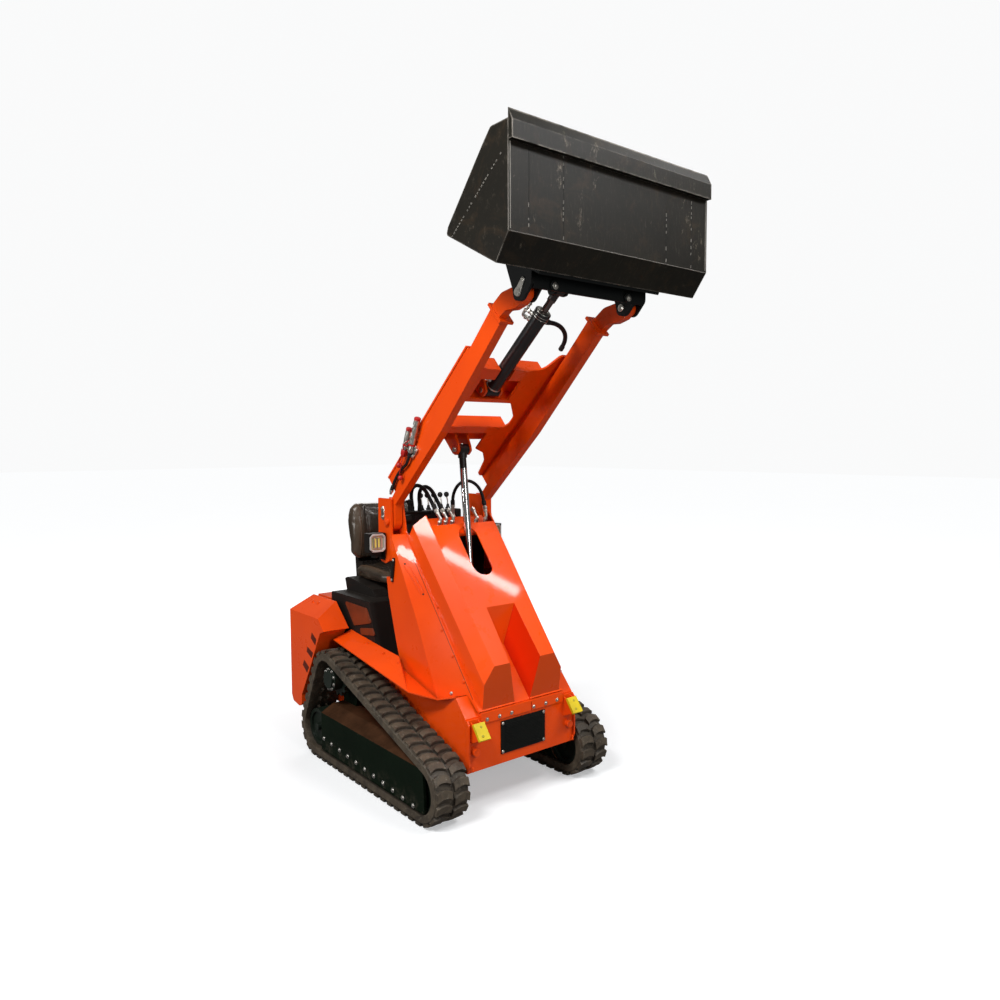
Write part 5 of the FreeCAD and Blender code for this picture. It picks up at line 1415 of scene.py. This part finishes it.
def near_seam(v):
    """Stitched creases of the cushion: two lines fore and aft set off the bolsters, and one across."""
    x, y, z = v.x * 1000, v.y * 1000 - YS, v.z * 1000
    if z > 985 and (abs(abs(x) - 150) < 5 or (abs(y - (430 + 0.25 * x)) < 5 and abs(x) < 150)):
        return 1.0
    return 0.0


def near_seam_back(v):
    x, y, z = v.x * 1000, v.y * 1000 - YS, v.z * 1000
    if y < 600 and (abs(abs(x) - 138) < 5 or (abs(z - 1180) < 5 and abs(x) < 138)):
        return 1.0
    return 0.0


cu_o = soft_start("seat_cushion_pad", rounded(shrink(CU, 8.0), 26.0), 217.0, 34.0)
for v in cu_o.data.vertices:      # the stitched lines lie lower from the start
    if near_seam(v.co) > 0:
        v.co.z -= 0.006
puff(cu_o, 0.009, near_seam)
finish_pad(cu_o, "seat_cushion")

bk_o = soft_start("seat_backrest_pad", rounded(shrink(BK, 9.0), 44.0), 206.0, 58.0)
for v in bk_o.data.vertices:
    if near_seam_back(v.co) > 0:
        v.co.y += 0.006
puff(bk_o, 0.009, near_seam_back)
finish_pad(bk_o, "seat_backrest")

# piping along the pad ends and the stitched lines, laid on the finished surfaces
seat_body = [b for b, ns in record["behaviour"]["bodies"].items() if "seat_cushion" in ns][0]
pip = Batch("seat_piping", seat_body, "piping_brown")
stitch = Batch("seat_stitching", seat_body, "dark_gap")


def hug(o, src, outline_pts, r, batch, lift=0.0004, seg=8, box=None):
    """Cord or stitch line following the surface of o nearest to the given points."""
    t = BVHTree.FromPolygons([v.co.copy() for v in o.data.vertices], [tuple(q.vertices) for q in o.data.polygons])
    pts = []
    for p in outline_pts:
        loc, nrm, _, _ = t.find_nearest(p)
        if loc is not None:
            q = loc + nrm * lift
            if not pts or (q - pts[-1]).length > 0.003:
                pts.append(q)
    if len(pts) > 4:
        for _ in range(2):
            pts = [pts[0]] + [(pts[i - 1] + pts[i] * 2 + pts[i + 1]) / 4 for i in range(1, len(pts) - 1)] + [pts[-1]]
        tube(batch, pts, r, seg)


for o, node, base, half in ((cu_o, "seat_cushion", CU, 190.0), (bk_o, "seat_backrest", BK, 176.0)):
    ring = rounded(base, 30.0, 8)
    for sx in (-1, 1):
        pts = []
        for i in range(len(ring) + 1):
            a, b = ring[i % len(ring)], ring[(i + 1) % len(ring)]
            for k in range(6):
                t = k / 6.0
                pts.append(D(sx * half, a[0] + (b[0] - a[0]) * t, a[1] + (b[1] - a[1]) * t))
        hug(o, node, pts, 0.0030, pip)
for sx in (-1, 1):
    hug(cu_o, "seat_cushion", [D(sx * 150, 262 + 3 * k, 1030) for k in range(105)], 0.0009, stitch)
    hug(bk_o, "seat_backrest", [D(sx * 138, 560, 1060 + 3 * k) for k in range(96)], 0.0009, stitch)
hug(cu_o, "seat_cushion", [D(-150 + 3 * k, 430 + 0.25 * (-150 + 3 * k), 1030) for k in range(101)], 0.0009, stitch)
hug(bk_o, "seat_backrest", [D(-138 + 3 * k, 560, 1180) for k in range(93)], 0.0009, stitch)
pip.done()
stitch.done()


floor_m = Mat("floor")
floor_m.set("Base Color", floor_m.mix(floor_m.ramp(floor_m.noise(0.8, 3.0), 0.3, 0.8), (0.70, 0.71, 0.72), (0.74, 0.75, 0.76)))
floor_m.set("Roughness", floor_m.math("ADD", 0.75, floor_m.math("MULTIPLY", floor_m.noise(2.0), 0.1)))
floor_m.set("Specular IOR Level", 0.1)
em = floor_m.n.new("ShaderNodeEmission")
em.inputs["Color"].default_value = (0.93, 0.94, 0.95, 1)
fd = floor_m.n.new("ShaderNodeVectorMath")
fd.operation = "LENGTH"
floor_m.link(floor_m.tc.outputs["Object"], fd.inputs[0])
# the floor's glow is dimmed close to the machine, painted shade around it, and rises to an even white further out
grow = floor_m.math("MULTIPLY", floor_m.math("SUBTRACT", fd.outputs["Value"], 1.0), 0.38, clamp=True)
floor_m.link(floor_m.math("ADD", 0.40, floor_m.math("MULTIPLY", grow, 0.53)), em.inputs["Strength"])
tr = floor_m.n.new("ShaderNodeAddShader")
flp = floor_m.n.new("ShaderNodeLightPath")
fmix = floor_m.n.new("ShaderNodeMixShader")
floor_m.link(floor_m.b.outputs[0], tr.inputs[0])
floor_m.link(em.outputs[0], tr.inputs[1])
floor_m.link(flp.outputs["Is Camera Ray"], fmix.inputs[0])
dfl = floor_m.n.new("ShaderNodeBsdfDiffuse")
dfl.inputs["Color"].default_value = (0.20, 0.20, 0.20, 1)
floor_m.link(dfl.outputs[0], fmix.inputs[1])
floor_m.link(tr.outputs[0], fmix.inputs[2])
floor_m.link(fmix.outputs[0], floor_m.n["Material Output"].inputs["Surface"])
me = bpy.data.meshes.new("floor")
me.from_pydata([(-40, -40, 0), (40, -40, 0), (40, 60, 0), (-40, 60, 0)], [], [(0, 1, 2, 3)])
me.materials.append(floor_m.m)
floor = bpy.data.objects.new("floor", me)
bpy.context.scene.collection.objects.link(floor)
